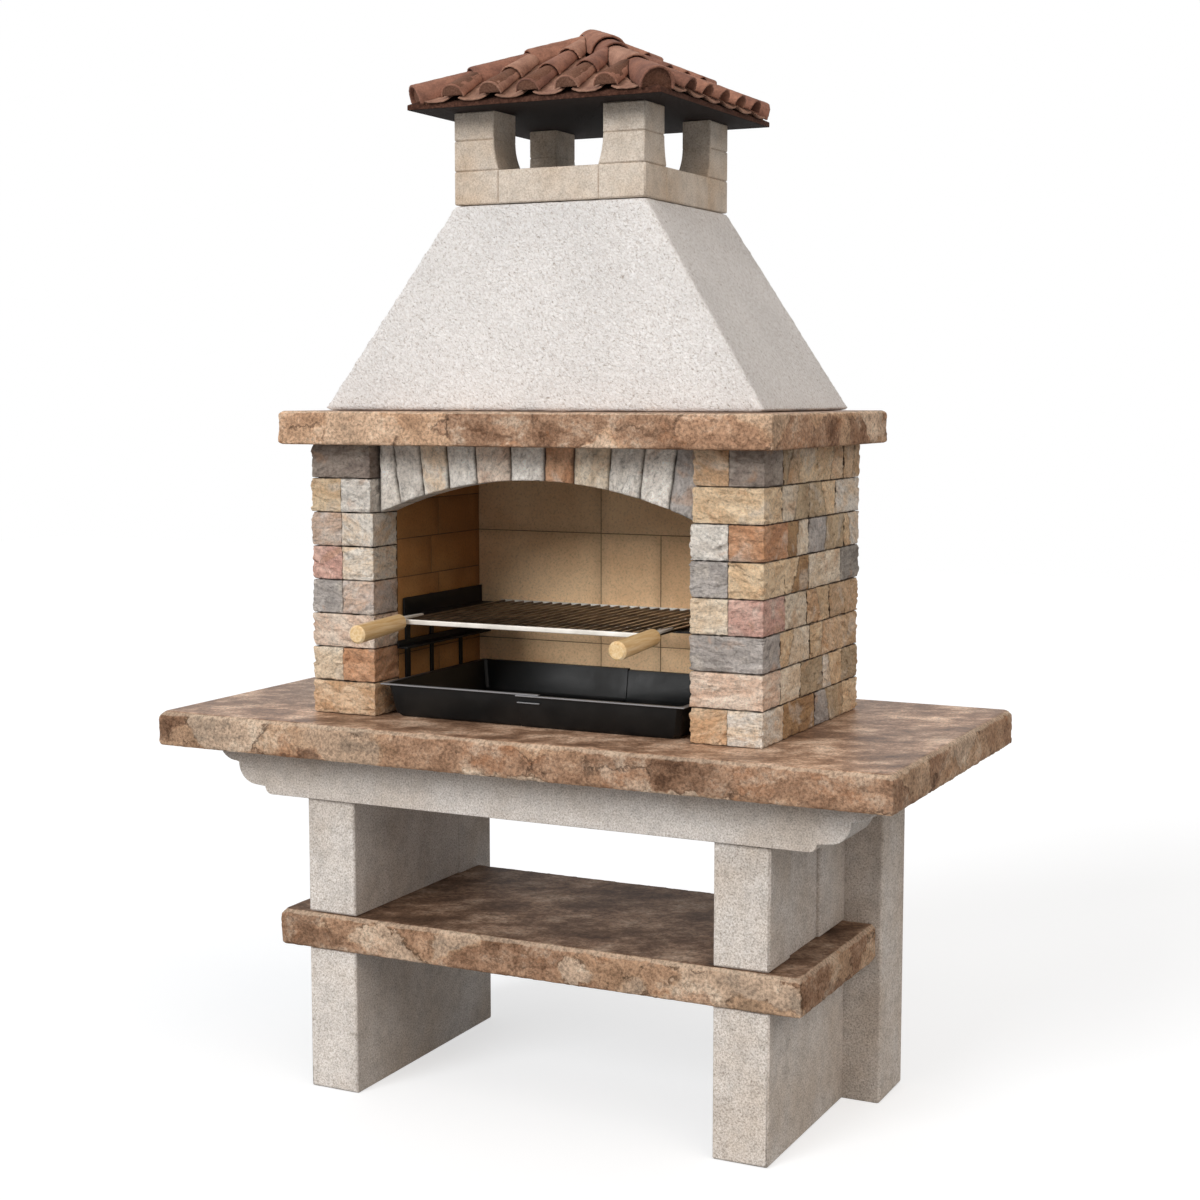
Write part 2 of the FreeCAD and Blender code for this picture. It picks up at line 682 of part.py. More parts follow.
def onto_slope(shape, angle, run):
    """From a flat frame, with Y up the slope and Z square to it, to its place about the roof's axis."""
    shape.rotate(V(0, 0, 0), V(1, 0, 0), math.degrees(angle))
    shape.translate(V(0, -run, ROOF_EAVE))
    return shape


def arc_points(centre, radius, first, last, facets):
    """Points of an arc in an upright plane across the slope, between two angles in radians from +X."""
    angles = [first + (last - first) * number / facets for number in range(facets + 1)]
    return [centre + V(radius * math.cos(angle), 0, radius * math.sin(angle)) for angle in angles]


def cone(start, length, low_radius, high_radius):
    """Full tapered bar of flat facets along Y, whose flats clear the ridges of a tile of the same radii."""
    facets = 2 * TILE_FACETS
    clear = 1 / math.cos(math.pi / facets)
    rings = []
    for along, radius in ((start, low_radius), (start + length, high_radius)):
        rings.append(arc_points(V(0, along, 0), radius * clear, 0, 2 * math.pi, facets)[:-1])
    return solid_through(rings)


def barrel(start, length, place, radii, thick, drop):
    """Tapered half-round tile of flat facets, its long edges as far below the axis as the drop."""
    dip = math.asin(drop / radii[0])
    x, z = place
    rings = []
    for along, radius in ((start, radii[0]), (start + length, radii[1])):
        centre = V(x, along, z)
        outside = arc_points(centre, radius, -dip, math.pi + dip, TILE_FACETS)
        inside = arc_points(centre, radius - thick, math.pi + dip, -dip, TILE_FACETS)
        rings.append(outside + inside)
    return solid_through(rings)


def pan_profile():
    """Shallow trough section between two arcs."""
    sweep = math.asin(PAN_HALF / PAN_RADIUS)
    centre = V(0, 0, TILE_BED + TILE_THICK + PAN_RADIUS)
    first = -math.pi / 2 - sweep
    last = -math.pi / 2 + sweep
    top = arc_points(centre, PAN_RADIUS, first, last, PAN_FACETS)
    under = arc_points(centre, PAN_RADIUS + TILE_THICK, last, first, PAN_FACETS)
    return flat_face(top + under)


def cover_level():
    """Height of the cover tiles' edges, just clear of the pans where the covers are narrowest."""
    reach = TILE_PITCH / 2 - (COVER_RADIUS - COVER_TAPER - TILE_THICK)
    rise = PAN_RADIUS - math.sqrt(PAN_RADIUS ** 2 - reach ** 2)
    return TILE_BED + TILE_THICK + rise + TILE_BED


def hip_spans():
    return [HIP_START + number * HIP_STEP for number in range(HIP_TILES)]


def hip_cones(grow):
    """Full cones around the front-hip tiles, before the hip is turned onto a corner."""
    shapes = []
    for start in hip_spans():
        shape = cone(start, HIP_LENGTH, HIP_RADIUS + grow, HIP_RADIUS - HIP_TAPER + grow)
        shapes.append(onto_slope(shape, HIP_SLOPE, HIP_RUN))
    return shapes


def turned(shape, degrees):
    copy = shape.copy()
    copy.rotate(V(0, 0, 0), V(0, 0, 1), degrees)
    return copy


def seated(shape):
    """Moved from the roof's own axis to its place over the crown."""
    shape.translate(V(0, CROWN_MIDDLE, 0))
    return shape


def front_tiles():
    """Cover tiles and pan tiles of the front slope, trimmed to the hips."""
    wedge = front_wedge(TILE_BED)
    trims = [turned(shape, turn) for shape in hip_cones(2 * TILE_BED) for turn in (45, -45)]
    level = cover_level()
    radii = (COVER_RADIUS, COVER_RADIUS - COVER_TAPER)
    covers = []
    for column in range(-SIDE_COLUMNS, SIDE_COLUMNS + 1):
        x = column * TILE_PITCH
        to_hip = SLOPE_LENGTH * (1 - abs(x) / ROOF_HALF)
        for course in range(max(1, round(to_hip / COVER_STEP))):
            start = course * COVER_STEP - TILE_OVERHANG
            tile = barrel(start, COVER_LENGTH, (x, level), radii, TILE_THICK, 0)
            covers.append(onto_slope(tile, SLOPE, ROOF_HALF))
    pans = []
    for column in range(-SIDE_COLUMNS - 1, SIDE_COLUMNS + 1):
        pan = pan_profile().extrude(V(0, SLOPE_LENGTH + TILE_OVERHANG, 0))
        pan.translate(V((column + 0.5) * TILE_PITCH, -TILE_OVERHANG, 0))
        pans.append(onto_slope(pan, SLOPE, ROOF_HALF))

    def trim(tile):
        return largest(tile.common(wedge).cut(trims))

    return [trim(tile) for tile in covers], [trim(tile) for tile in pans]


def front_hip(bed):
    """Hip tiles of one corner, on the front line before they are turned onto it."""
    wedge = front_wedge(TILE_BED)
    radii = (HIP_RADIUS, HIP_RADIUS - HIP_TAPER)
    drop = HIP_RADIUS * math.tan(SLOPE) / 2
    tiles = []
    for start in hip_spans():
        tile = barrel(start, HIP_LENGTH, (0, 0), radii, HIP_THICK, drop)
        tile = onto_slope(tile, HIP_SLOPE, HIP_RUN)
        tiles.append(largest(tile.common(wedge).cut(bed)))
    return tiles


APEX_START = HIP_LINE + APEX_PAST - APEX_LENGTH
APEX_RADII = (HIP_RADIUS + HIP_THICK - TILE_BED, HIP_RADIUS + HIP_THICK - HIP_TAPER)


def apex_tile(bed):
    """Last tile of the front-right hip, laid over the other three hips and past the point of the roof."""
    tile = barrel(APEX_START, APEX_LENGTH, (0, 0), APEX_RADII, HIP_THICK, 0)
    tile = onto_slope(tile, HIP_SLOPE, HIP_RUN)
    top_cone = hip_cones(TILE_BED)[-1]
    others = [turned(top_cone, turn) for turn in (0, 90, 180, 270)]
    return largest(turned(tile.cut(others).cut(bed), 45))


def apex_room():
    """Full cone around the apex tile, which the tiles beside it are cut short by."""
    low, high = APEX_RADII
    room = cone(APEX_START, APEX_LENGTH, low + 2 * TILE_BED, high + 2 * TILE_BED)
    return turned(onto_slope(room, HIP_SLOPE, HIP_RUN), 45)


def make_roof():
    bed = roof_bed()
    export("roof_slab", seated(bed.copy()))
    raised = bed.copy()
    raised.translate(V(0, 0, TILE_BED))
    quarter_turned = turned(raised, 45)
    covers, pans = front_tiles()
    hip = front_hip(quarter_turned)
    room = apex_room()
    for side, turn in ROOF_SIDES:
        for name, tiles in (("_cover_tiles", covers), ("_pan_tiles", pans)):
            cut_short = [largest(turned(tile, turn).cut(room)) for tile in tiles]
            export(side + name, [seated(tile) for tile in cut_short])
    corners = ("front_right", "back_right", "back_left", "front_left")
    for number, corner in enumerate(corners):
        export(corner + "_hip_tiles", [seated(turned(tile, 45 + 90 * number)) for tile in hip])
    export("apex_tile", seated(apex_tile(quarter_turned)))


# Side racks that carry the grill

def make_racks():
    wall = LINING_FACE
    leg_face = wall - RACK_SHEET
    lip = leg_face - RACK_SHEET
    pieces = []
    rail_top = LOWER_RAIL_TOP + LOWER_RAIL_LIP
    for front, top, shelf, width in ((RACK_FRONT, RACK_TOP, LEDGE_TOP, LEDGE_WIDTH),
                                     (LOWER_RAIL_FRONT, rail_top, LOWER_RAIL_TOP, LOWER_RAIL_WIDTH)):
        plate = box(lip, leg_face, front, RACK_BACK, shelf - RACK_SHEET, top)
        ledge = box(lip - width, lip, front, RACK_BACK, shelf - RACK_SHEET, shelf)
        pieces.append(plate.fuse(ledge).removeSplitter())
    front_start = RACK_FRONT + FRONT_UPRIGHT_SET
    rear_start = RACK_BACK - REAR_UPRIGHT_SET - UPRIGHT_WIDTH
    middle_start = front_start + MIDDLE_UPRIGHT_SHARE * (rear_start - front_start)
    for start, width in ((front_start, FRONT_UPRIGHT_WIDTH), (middle_start, UPRIGHT_WIDTH),
                         (rear_start, UPRIGHT_WIDTH)):
        pieces.append(box(leg_face, wall, start, start + width, WORKTOP_TOP, RACK_TOP))
    export_pair("rack", pieces)


# Grill

def rod(start, length, across, along):
    """Bar of small flat facets from the start point, its section spanned by the across axis and Z."""
    angles = [2 * math.pi * (number + 0.5) / ROD_FACETS for number in range(ROD_FACETS)]
    up = V(0, 0, ROD_RADIUS)
    side = across * ROD_RADIUS
    ring = [start + side * math.cos(angle) + up * math.sin(angle) for angle in angles]
    return flat_face(ring).extrude(along * length)


def make_grill_bars():
    front_back = GRILL_FRONT + BAR_SHEET
    rear_front = GRILL_BACK - BAR_SHEET
    top = ROD_LEVEL + ROD_RADIUS
    front_bar = box(-GRILL_HALF, GRILL_HALF, GRILL_FRONT, front_back, top - BAR_HEIGHT, top)
    export("grill_front_bar", eased(front_bar, [("y", GRILL_FRONT)], BAR_ARRIS))
    rear_low = LEDGE_TOP + SLIDE_GAP
    rear_bar = box(-GRILL_HALF, GRILL_HALF, rear_front, GRILL_BACK, rear_low, top)
    export("grill_rear_bar", eased(rear_bar, [("y", GRILL_BACK)], BAR_ARRIS))
    reach = GRILL_HALF - TANG_WIDTH / 2
    pitch = 2 * reach / (ROD_COUNT - 1)
    length = rear_front - front_back
    starts = [V(-reach + number * pitch, front_back, ROD_LEVEL) for number in range(ROD_COUNT)]
    rods = [rod(start, length, V(1, 0, 0), V(0, 1, 0)) for start in starts]
    export("grill_bars", rods)
    cross_half = LEDGE_INNER - CROSS_ROD_CLEAR
    cross_level = ROD_LEVEL - ROD_DIAMETER - WELD_GAP
    starts = [V(-cross_half, GRILL_FRONT + offset, cross_level) for offset in CROSS_ROD_STARTS]
    cross_rods = [rod(start, 2 * cross_half, V(0, 1, 0), V(1, 0, 0)) for start in starts]
    export("grill_cross_rods", cross_rods)


def grip_solid():
    """Turned dowel along -Y from the origin, of flat facets, eased at both ends and slimmer at the neck."""
    stations = [
        (0, GRIP_NECK_RADIUS - GRIP_NECK_ROUND),
        (GRIP_NECK_ROUND, GRIP_NECK_RADIUS),
        (GRIP_LENGTH - GRIP_END_ROUND, GRIP_RADIUS),
        (GRIP_LENGTH, GRIP_END_RADIUS),
    ]
    rings = []
    for along, radius in stations:
        rings.append(arc_points(V(0, -along, 0), radius, 0, 2 * math.pi, GRIP_FACETS)[:-1])
    return solid_through(rings)


def make_handles():
    middle = GRILL_HALF - TANG_WIDTH / 2
    low = ROD_LEVEL + ROD_RADIUS
    front = GRIP_START - TANG_IN_GRIP
    back = GRILL_FRONT + TANG_LAP
    taper_start = GRILL_FRONT + BAR_SHEET
    outer_side = [(TANG_WIDTH / 2, front), (TANG_WIDTH / 2, taper_start), (TANG_TIP / 2, back)]
    inner_side = [(-x, y) for x, y in reversed(outer_side)]
    tang = prism([(middle + x, y) for x, y in outer_side + inner_side], low, low + TANG_SHEET)
    grip = grip_solid()
    grip.rotate(V(0, 0, 0), V(1, 0, 0), GRIP_DROOP)
    grip.translate(V(middle, GRIP_START, low + TANG_SHEET / 2 - GRIP_DROP))
    export_pair("handle_tang", tang)
    export_pair("handle_grip", grip.cut(tang))


# Charcoal tray

def tray_block(inset, floor, top):
    """Solid flared block with bent lower edges and corners, set in from the tray's outside by the inset."""
    bend = TRAY_BEND - inset
    bend_flare = TRAY_FLARE * bend / (top - floor)
    rings = []
    for level, out in ((floor, bend_flare - bend), (floor + bend, bend_flare), (top, TRAY_FLARE)):
        grow = out - inset
        outline = clipped(TRAY_HALF + grow, TRAY_FRONT - grow, TRAY_BACK + grow, bend)
        rings.append([V(x, y, level) for x, y in outline])
    return solid_through(rings)


def tray_pan(inset, floor, top):
    """Open pan of sheet with a flat rim turned outwards."""
    solid = tray_block(inset, floor, top)
    hollow = tray_block(inset + TRAY_SHEET, floor + TRAY_SHEET, top)
    reach = TRAY_FLARE + TRAY_RIM - inset
    rim = box(-TRAY_HALF - reach, TRAY_HALF + reach, TRAY_FRONT - reach, TRAY_BACK + reach,
              top - TRAY_RIM_SHEET, top)
    rim = eased(rim, [("z", top - TRAY_RIM_SHEET)], TRAY_RIM_ARRIS)
    return solid.fuse(rim).cut(hollow).removeSplitter()


def make_tray():
    nest = TRAY_SHEET + SLIDE_GAP
    floor = WORKTOP_TOP + SLIDE_GAP
    inner_top = floor + nest + TRAY_HEIGHT
    outer_top = inner_top - TRAY_RIM_SHEET - SLIDE_GAP
    far = OPENING_HALF
    deep = FIREBOX_DEPTH
    above = inner_top + CUT_PAST
    below = floor - CUT_PAST
    right_end = box(TRAY_SPLIT - TRAY_LAP, far, -deep, deep, below, above)
    left_end = box(-far, TRAY_SPLIT, -deep, deep, below, above)
    outer = tray_pan(0, floor, outer_top).common(right_end)
    inner = tray_pan(nest, floor + nest, inner_top).common(left_end)
    export("tray_right_half", outer)
    export("tray_left_half", inner)
    lip_level = outer_top - TRAY_RIM_SHEET - PULL_LIP_DROP
    wall_share = (lip_level - floor) / (outer_top - floor)
    wall = TRAY_FRONT - TRAY_FLARE * wall_share
    start = TRAY_SPLIT - TRAY_LAP
    lip_top = lip_level + PULL_LIP_SHEET
    lip = box(start, TRAY_SPLIT, wall - PULL_LIP_REACH, wall + TRAY_SHEET, lip_level, lip_top)
    solid = tray_block(0, floor, outer_top)
    export("tray_pull_lip", lip.cut(solid))


os.makedirs("parts", exist_ok=True)
make_legs()
make_worktop()
make_shelf()
make_mantel()
make_lintel()
make_stone_walls()
make_arch()
make_lining()
make_hood()
make_ring()
make_posts()
make_roof()
make_racks()
make_grill_bars()
make_handles()
make_tray()
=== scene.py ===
import math
import random

import bmesh
import bpy
from mathutils import Matrix, Vector, noise


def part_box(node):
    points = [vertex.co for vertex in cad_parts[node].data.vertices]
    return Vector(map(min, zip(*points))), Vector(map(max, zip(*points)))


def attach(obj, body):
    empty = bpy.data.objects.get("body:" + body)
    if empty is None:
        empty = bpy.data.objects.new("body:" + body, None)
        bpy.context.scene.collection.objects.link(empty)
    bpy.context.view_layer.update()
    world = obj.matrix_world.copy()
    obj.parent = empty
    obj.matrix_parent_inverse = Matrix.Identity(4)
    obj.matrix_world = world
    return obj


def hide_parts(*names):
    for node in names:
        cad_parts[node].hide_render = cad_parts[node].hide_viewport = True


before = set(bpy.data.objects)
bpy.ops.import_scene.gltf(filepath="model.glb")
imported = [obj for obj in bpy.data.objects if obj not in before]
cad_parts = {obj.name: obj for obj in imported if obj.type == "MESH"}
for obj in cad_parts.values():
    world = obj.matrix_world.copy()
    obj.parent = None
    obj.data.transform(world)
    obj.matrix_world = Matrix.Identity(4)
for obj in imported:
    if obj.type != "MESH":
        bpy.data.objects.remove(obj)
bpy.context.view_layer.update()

scene = bpy.context.scene
MM = 0.001

# Legs: precast concrete panels, posts and blocks, cast in smooth moulds and then sandblasted.
# They stand dry on each other, and the blasting leaves an even pale grain and softened arrises.

LEG_PIECES = ("lower_panel", "rear_post", "front_block", "filler_panel", "back_block")
LEG_ARRIS = 2.2 * MM
SMALLEST = 1e-5


def linear(code):
    """Linear colour of an sRGB hex code."""
    values = []
    for start in (1, 3, 5):
        share = int(code[start:start + 2], 16) / 255
        values.append(share / 12.92 if share <= 0.04045 else ((share + 0.055) / 1.055) ** 2.4)
    return (*values, 1.0)


def per(size):
    """Texture scale at which one feature is about as large as a size in millimetres."""
    return 1 / (size * MM)


def add(tree, kind, inputs, out=None, stops=(), **settings):
    """Adds a shader node with its settings, values and links, and gives its output socket."""
    made = tree.nodes.new("ShaderNode" + kind)
    for name, value in settings.items():
        setattr(made, name, value)
    for key, value in inputs.items():
        socket = next(s for i, s in enumerate(made.inputs) if key in (i, s.name, s.identifier) and s.enabled)
        if isinstance(value, bpy.types.NodeSocket):
            tree.links.new(value, socket)
        else:
            socket.default_value = value
    if stops:
        elements = made.color_ramp.elements
        while len(elements) < len(stops):
            elements.new(1.0)
        for element, (place, tone) in zip(elements, stops):
            element.position = place
            element.color = linear(tone) if isinstance(tone, str) else (tone, tone, tone, 1.0)
    if out is None:
        return next(socket for socket in made.outputs if socket.enabled)
    return made.outputs[out]


def new_material(name, roughness, metallic=0.0):
    """New material: itself, its node tree, its shader's inputs and its Object coordinates."""
    material = bpy.data.materials.new(name)
    material.use_nodes = True
    tree = material.node_tree
    surface = tree.nodes["Principled BSDF"].inputs
    surface["Roughness"].default_value = roughness
    surface["Metallic"].default_value = metallic
    return material, tree, surface, add(tree, "TexCoord", {}, out="Object")


def solids(name):
    """Copies of the closed solids of a CAD node, each merged to a bmesh of flat faces."""
    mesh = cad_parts[name].data
    groups = [[]]
    open_edges = set()
    for polygon in mesh.polygons:
        corners = [tuple(round(c / SMALLEST) for c in mesh.vertices[i].co) for i in polygon.vertices]
        open_edges ^= {frozenset(pair) for pair in zip(corners, corners[1:] + corners[:1])}
        groups[-1].append(polygon.index)
        if not open_edges:
            groups.append([])
    found = []
    for group in groups[:-1]:
        kept = set(group)
        bm = bmesh.new()
        bm.from_mesh(mesh)
        others = [face for face in bm.faces if face.index not in kept]
        bmesh.ops.delete(bm, geom=others, context="FACES")
        bmesh.ops.remove_doubles(bm, verts=bm.verts, dist=SMALLEST)
        bmesh.ops.dissolve_limit(bm, angle_limit=math.radians(0.5), verts=bm.verts, edges=bm.edges)
        found.append(bm)
    return found


def gathered(blocks):
    """All blocks of a wall as one bmesh."""
    wall = bmesh.new()
    for bm in blocks:
        mesh = bpy.data.meshes.new("blank")
        bm.to_mesh(mesh)
        bm.free()
        wall.from_mesh(mesh)
        bpy.data.meshes.remove(mesh)
    return wall


def place(name, bm, material, slot, nodes, body="masonry", crease=40):
    """Makes a bmesh a finished piece that rides its body and stands for CAD nodes."""
    mesh = bpy.data.meshes.new(name)
    bm.to_mesh(mesh)
    bm.free()
    mesh.materials.append(material)
    mesh.shade_smooth()
    mesh.set_sharp_from_angle(angle=math.radians(crease))
    piece = bpy.data.objects.new(name, mesh)
    scene.collection.objects.link(piece)
    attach(piece, body)
    if nodes:
        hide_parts(*nodes)
    return piece


def eased_copy(name, material, slot, body, width):
    """A CAD node again with rounded arrises, which catch the light as those of the real piece do."""
    whole = gathered(solids(name))
    piece = place(name + "_eased", whole, material, slot, [name], body)
    change = piece.modifiers.new("edges", "BEVEL")
    change.width = width
    change.segments = 2
    change.limit_method = "ANGLE"
    change.angle_limit = math.radians(40)
    change.harden_normals = True
    return piece


def blasted_concrete(name, dark, base, light, warm, grain, cloud):
    """Sandblasted concrete: a dense grain of pale and dark sand, faint patches and warm clouds.

    The sand is drawn two or three times as coarse as it is, so that it shows."""
    material, tree, surface, where = new_material(name, 0.92)
    surface["Specular IOR Level"].default_value = 0.2
    sand = add(tree, "TexNoise", {"Vector": where, "Scale": per(grain), "Detail": 3.0, "Roughness": 0.75})
    tone = add(tree, "ValToRGB", {"Fac": sand}, stops=((0.32, dark), (0.50, base), (0.66, light)))
    clouds = add(tree, "TexNoise", {"Vector": where, "Scale": per(cloud), "Detail": 4.0})
    clouds = add(tree, "ValToRGB", {"Fac": clouds}, stops=((0.40, 0.0), (0.66, 0.7)))
    tone = add(tree, "Mix", {"Factor": clouds, "A_Color": tone, "B_Color": linear(warm)},
               data_type="RGBA", blend_type="MULTIPLY")
    patches = add(tree, "TexNoise", {"Vector": where, "Scale": per(30), "Detail": 7.0, "Roughness": 0.7})
    patches = add(tree, "ValToRGB", {"Fac": patches}, stops=((0.34, 0.82), (0.54, 1.0), (0.68, 1.05)))
    tone = add(tree, "Mix", {"Factor": 1.0, "A_Color": tone, "B_Color": patches},
               data_type="RGBA", blend_type="MULTIPLY")
    tree.links.new(tone, surface["Base Color"])
    relief = add(tree, "Bump", {"Height": sand, "Strength": 0.9, "Distance": 0.5 * grain * MM})
    tree.links.new(relief, surface["Normal"])
    return material


leg_concrete = blasted_concrete("blasted_concrete", "#a69b91", "#ddd5cd", "#f3eeea", "#ebe2d8", 3.6, 170.0)
for side in ("left", "right"):
    for piece in LEG_PIECES:
        eased_copy(side + "_" + piece, leg_concrete, "leg_concrete", "masonry", LEG_ARRIS)


# Shelf: a cast-stone slab that lies across the lower panels and between the rear posts.
# Its top is ground flat, and its edges are split by hand to look like rock.

SLAB_VOXEL = 4.4 * MM
SPLIT_DEPTH = 5.0 * MM
SPLIT_REACH = 16.0 * MM
SPLIT_CHIP = 32.0 * MM
ARRIS_CHIP = 18.0 * MM
ARRIS_REACH = 10.0 * MM
ARRIS_DROP = 2.0 * MM
CUT_CORNER = 12.0 * MM
CORNER_CRISP = 0.85
EDGE_WANDER = 50.0 * MM

# The tilts of the flakes are drawn from this seed, so that every run breaks the stone alike.
FLAKE_SEED = 3
noise.seed_set(FLAKE_SEED)


def remeshed(bm, voxel):
    """The solid again, with even faces about one voxel wide."""
    mesh = bpy.data.meshes.new("blank")
    bm.to_mesh(mesh)
    blank = bpy.data.objects.new("blank", mesh)
    scene.collection.objects.link(blank)
    change = blank.modifiers.new("voxels", "REMESH")
    change.mode = "VOXEL"
    change.voxel_size = voxel
    graph = bpy.context.evaluated_depsgraph_get()
    even = bpy.data.meshes.new_from_object(blank.evaluated_get(graph))
    bpy.data.objects.remove(blank)
    bpy.data.meshes.remove(mesh)
    bm.clear()
    bm.from_mesh(even)
    bpy.data.meshes.remove(even)
    return bm


def flakes(point, size):
    """Depth from 0 to 1 at a point of a split face: tilted flakes with finer breaks in them."""
    spot = point / size
    centre = noise.voronoi(spot)[1][0]
    tilt = noise.noise_vector(centre * 5.3)
    depth = 0.45 + 1.1 * (spot - centre).dot(tilt) + 0.25 * noise.fractal(spot * 2.6, 0.9, 2.1, 4)
    return min(1.0, max(0.0, depth))


def crisp_corners(bm, low, high):
    """Draws the cut upright corners of a slab out to a nearly square arris."""
    for vert in bm.verts:
        for x_plane, x_side in ((low.x, -1), (high.x, 1)):
            for y_plane, y_side in ((low.y, -1), (high.y, 1)):
                x = x_side * (vert.co.x - x_plane) + CUT_CORNER
                y = y_side * (vert.co.y - y_plane) + CUT_CORNER
                if min(x, y) > 0:
                    stretch = CORNER_CRISP * ((x + y) / max(x, y) - 1)
                    vert.co.x += x_side * x * stretch
                    vert.co.y += y_side * y * stretch


def split_edges(bm, low, high):
    """Splits the four edges of a slab back by hand, and chips its arrises."""
    for vert in bm.verts:
        spot = vert.co.copy()
        near_side = 1.0
        for axis in (0, 1):
            for plane, sign in ((low[axis], 1), (high[axis], -1)):
                inside = abs(spot[axis] - plane)
                near_side = min(near_side, inside)
                if inside < SPLIT_REACH:
                    share = 1 - inside / SPLIT_REACH
                    vert.co[axis] += sign * SPLIT_DEPTH * share * flakes(spot, SPLIT_CHIP)
        for plane, sign in ((low.z, 1), (high.z, -1)):
            if near_side < ARRIS_REACH and abs(spot.z - plane) < ARRIS_REACH:
                share = (1 - near_side / ARRIS_REACH) * (1 - abs(spot.z - plane) / ARRIS_REACH)
                vert.co.z += sign * ARRIS_DROP * share * flakes(spot, ARRIS_CHIP)


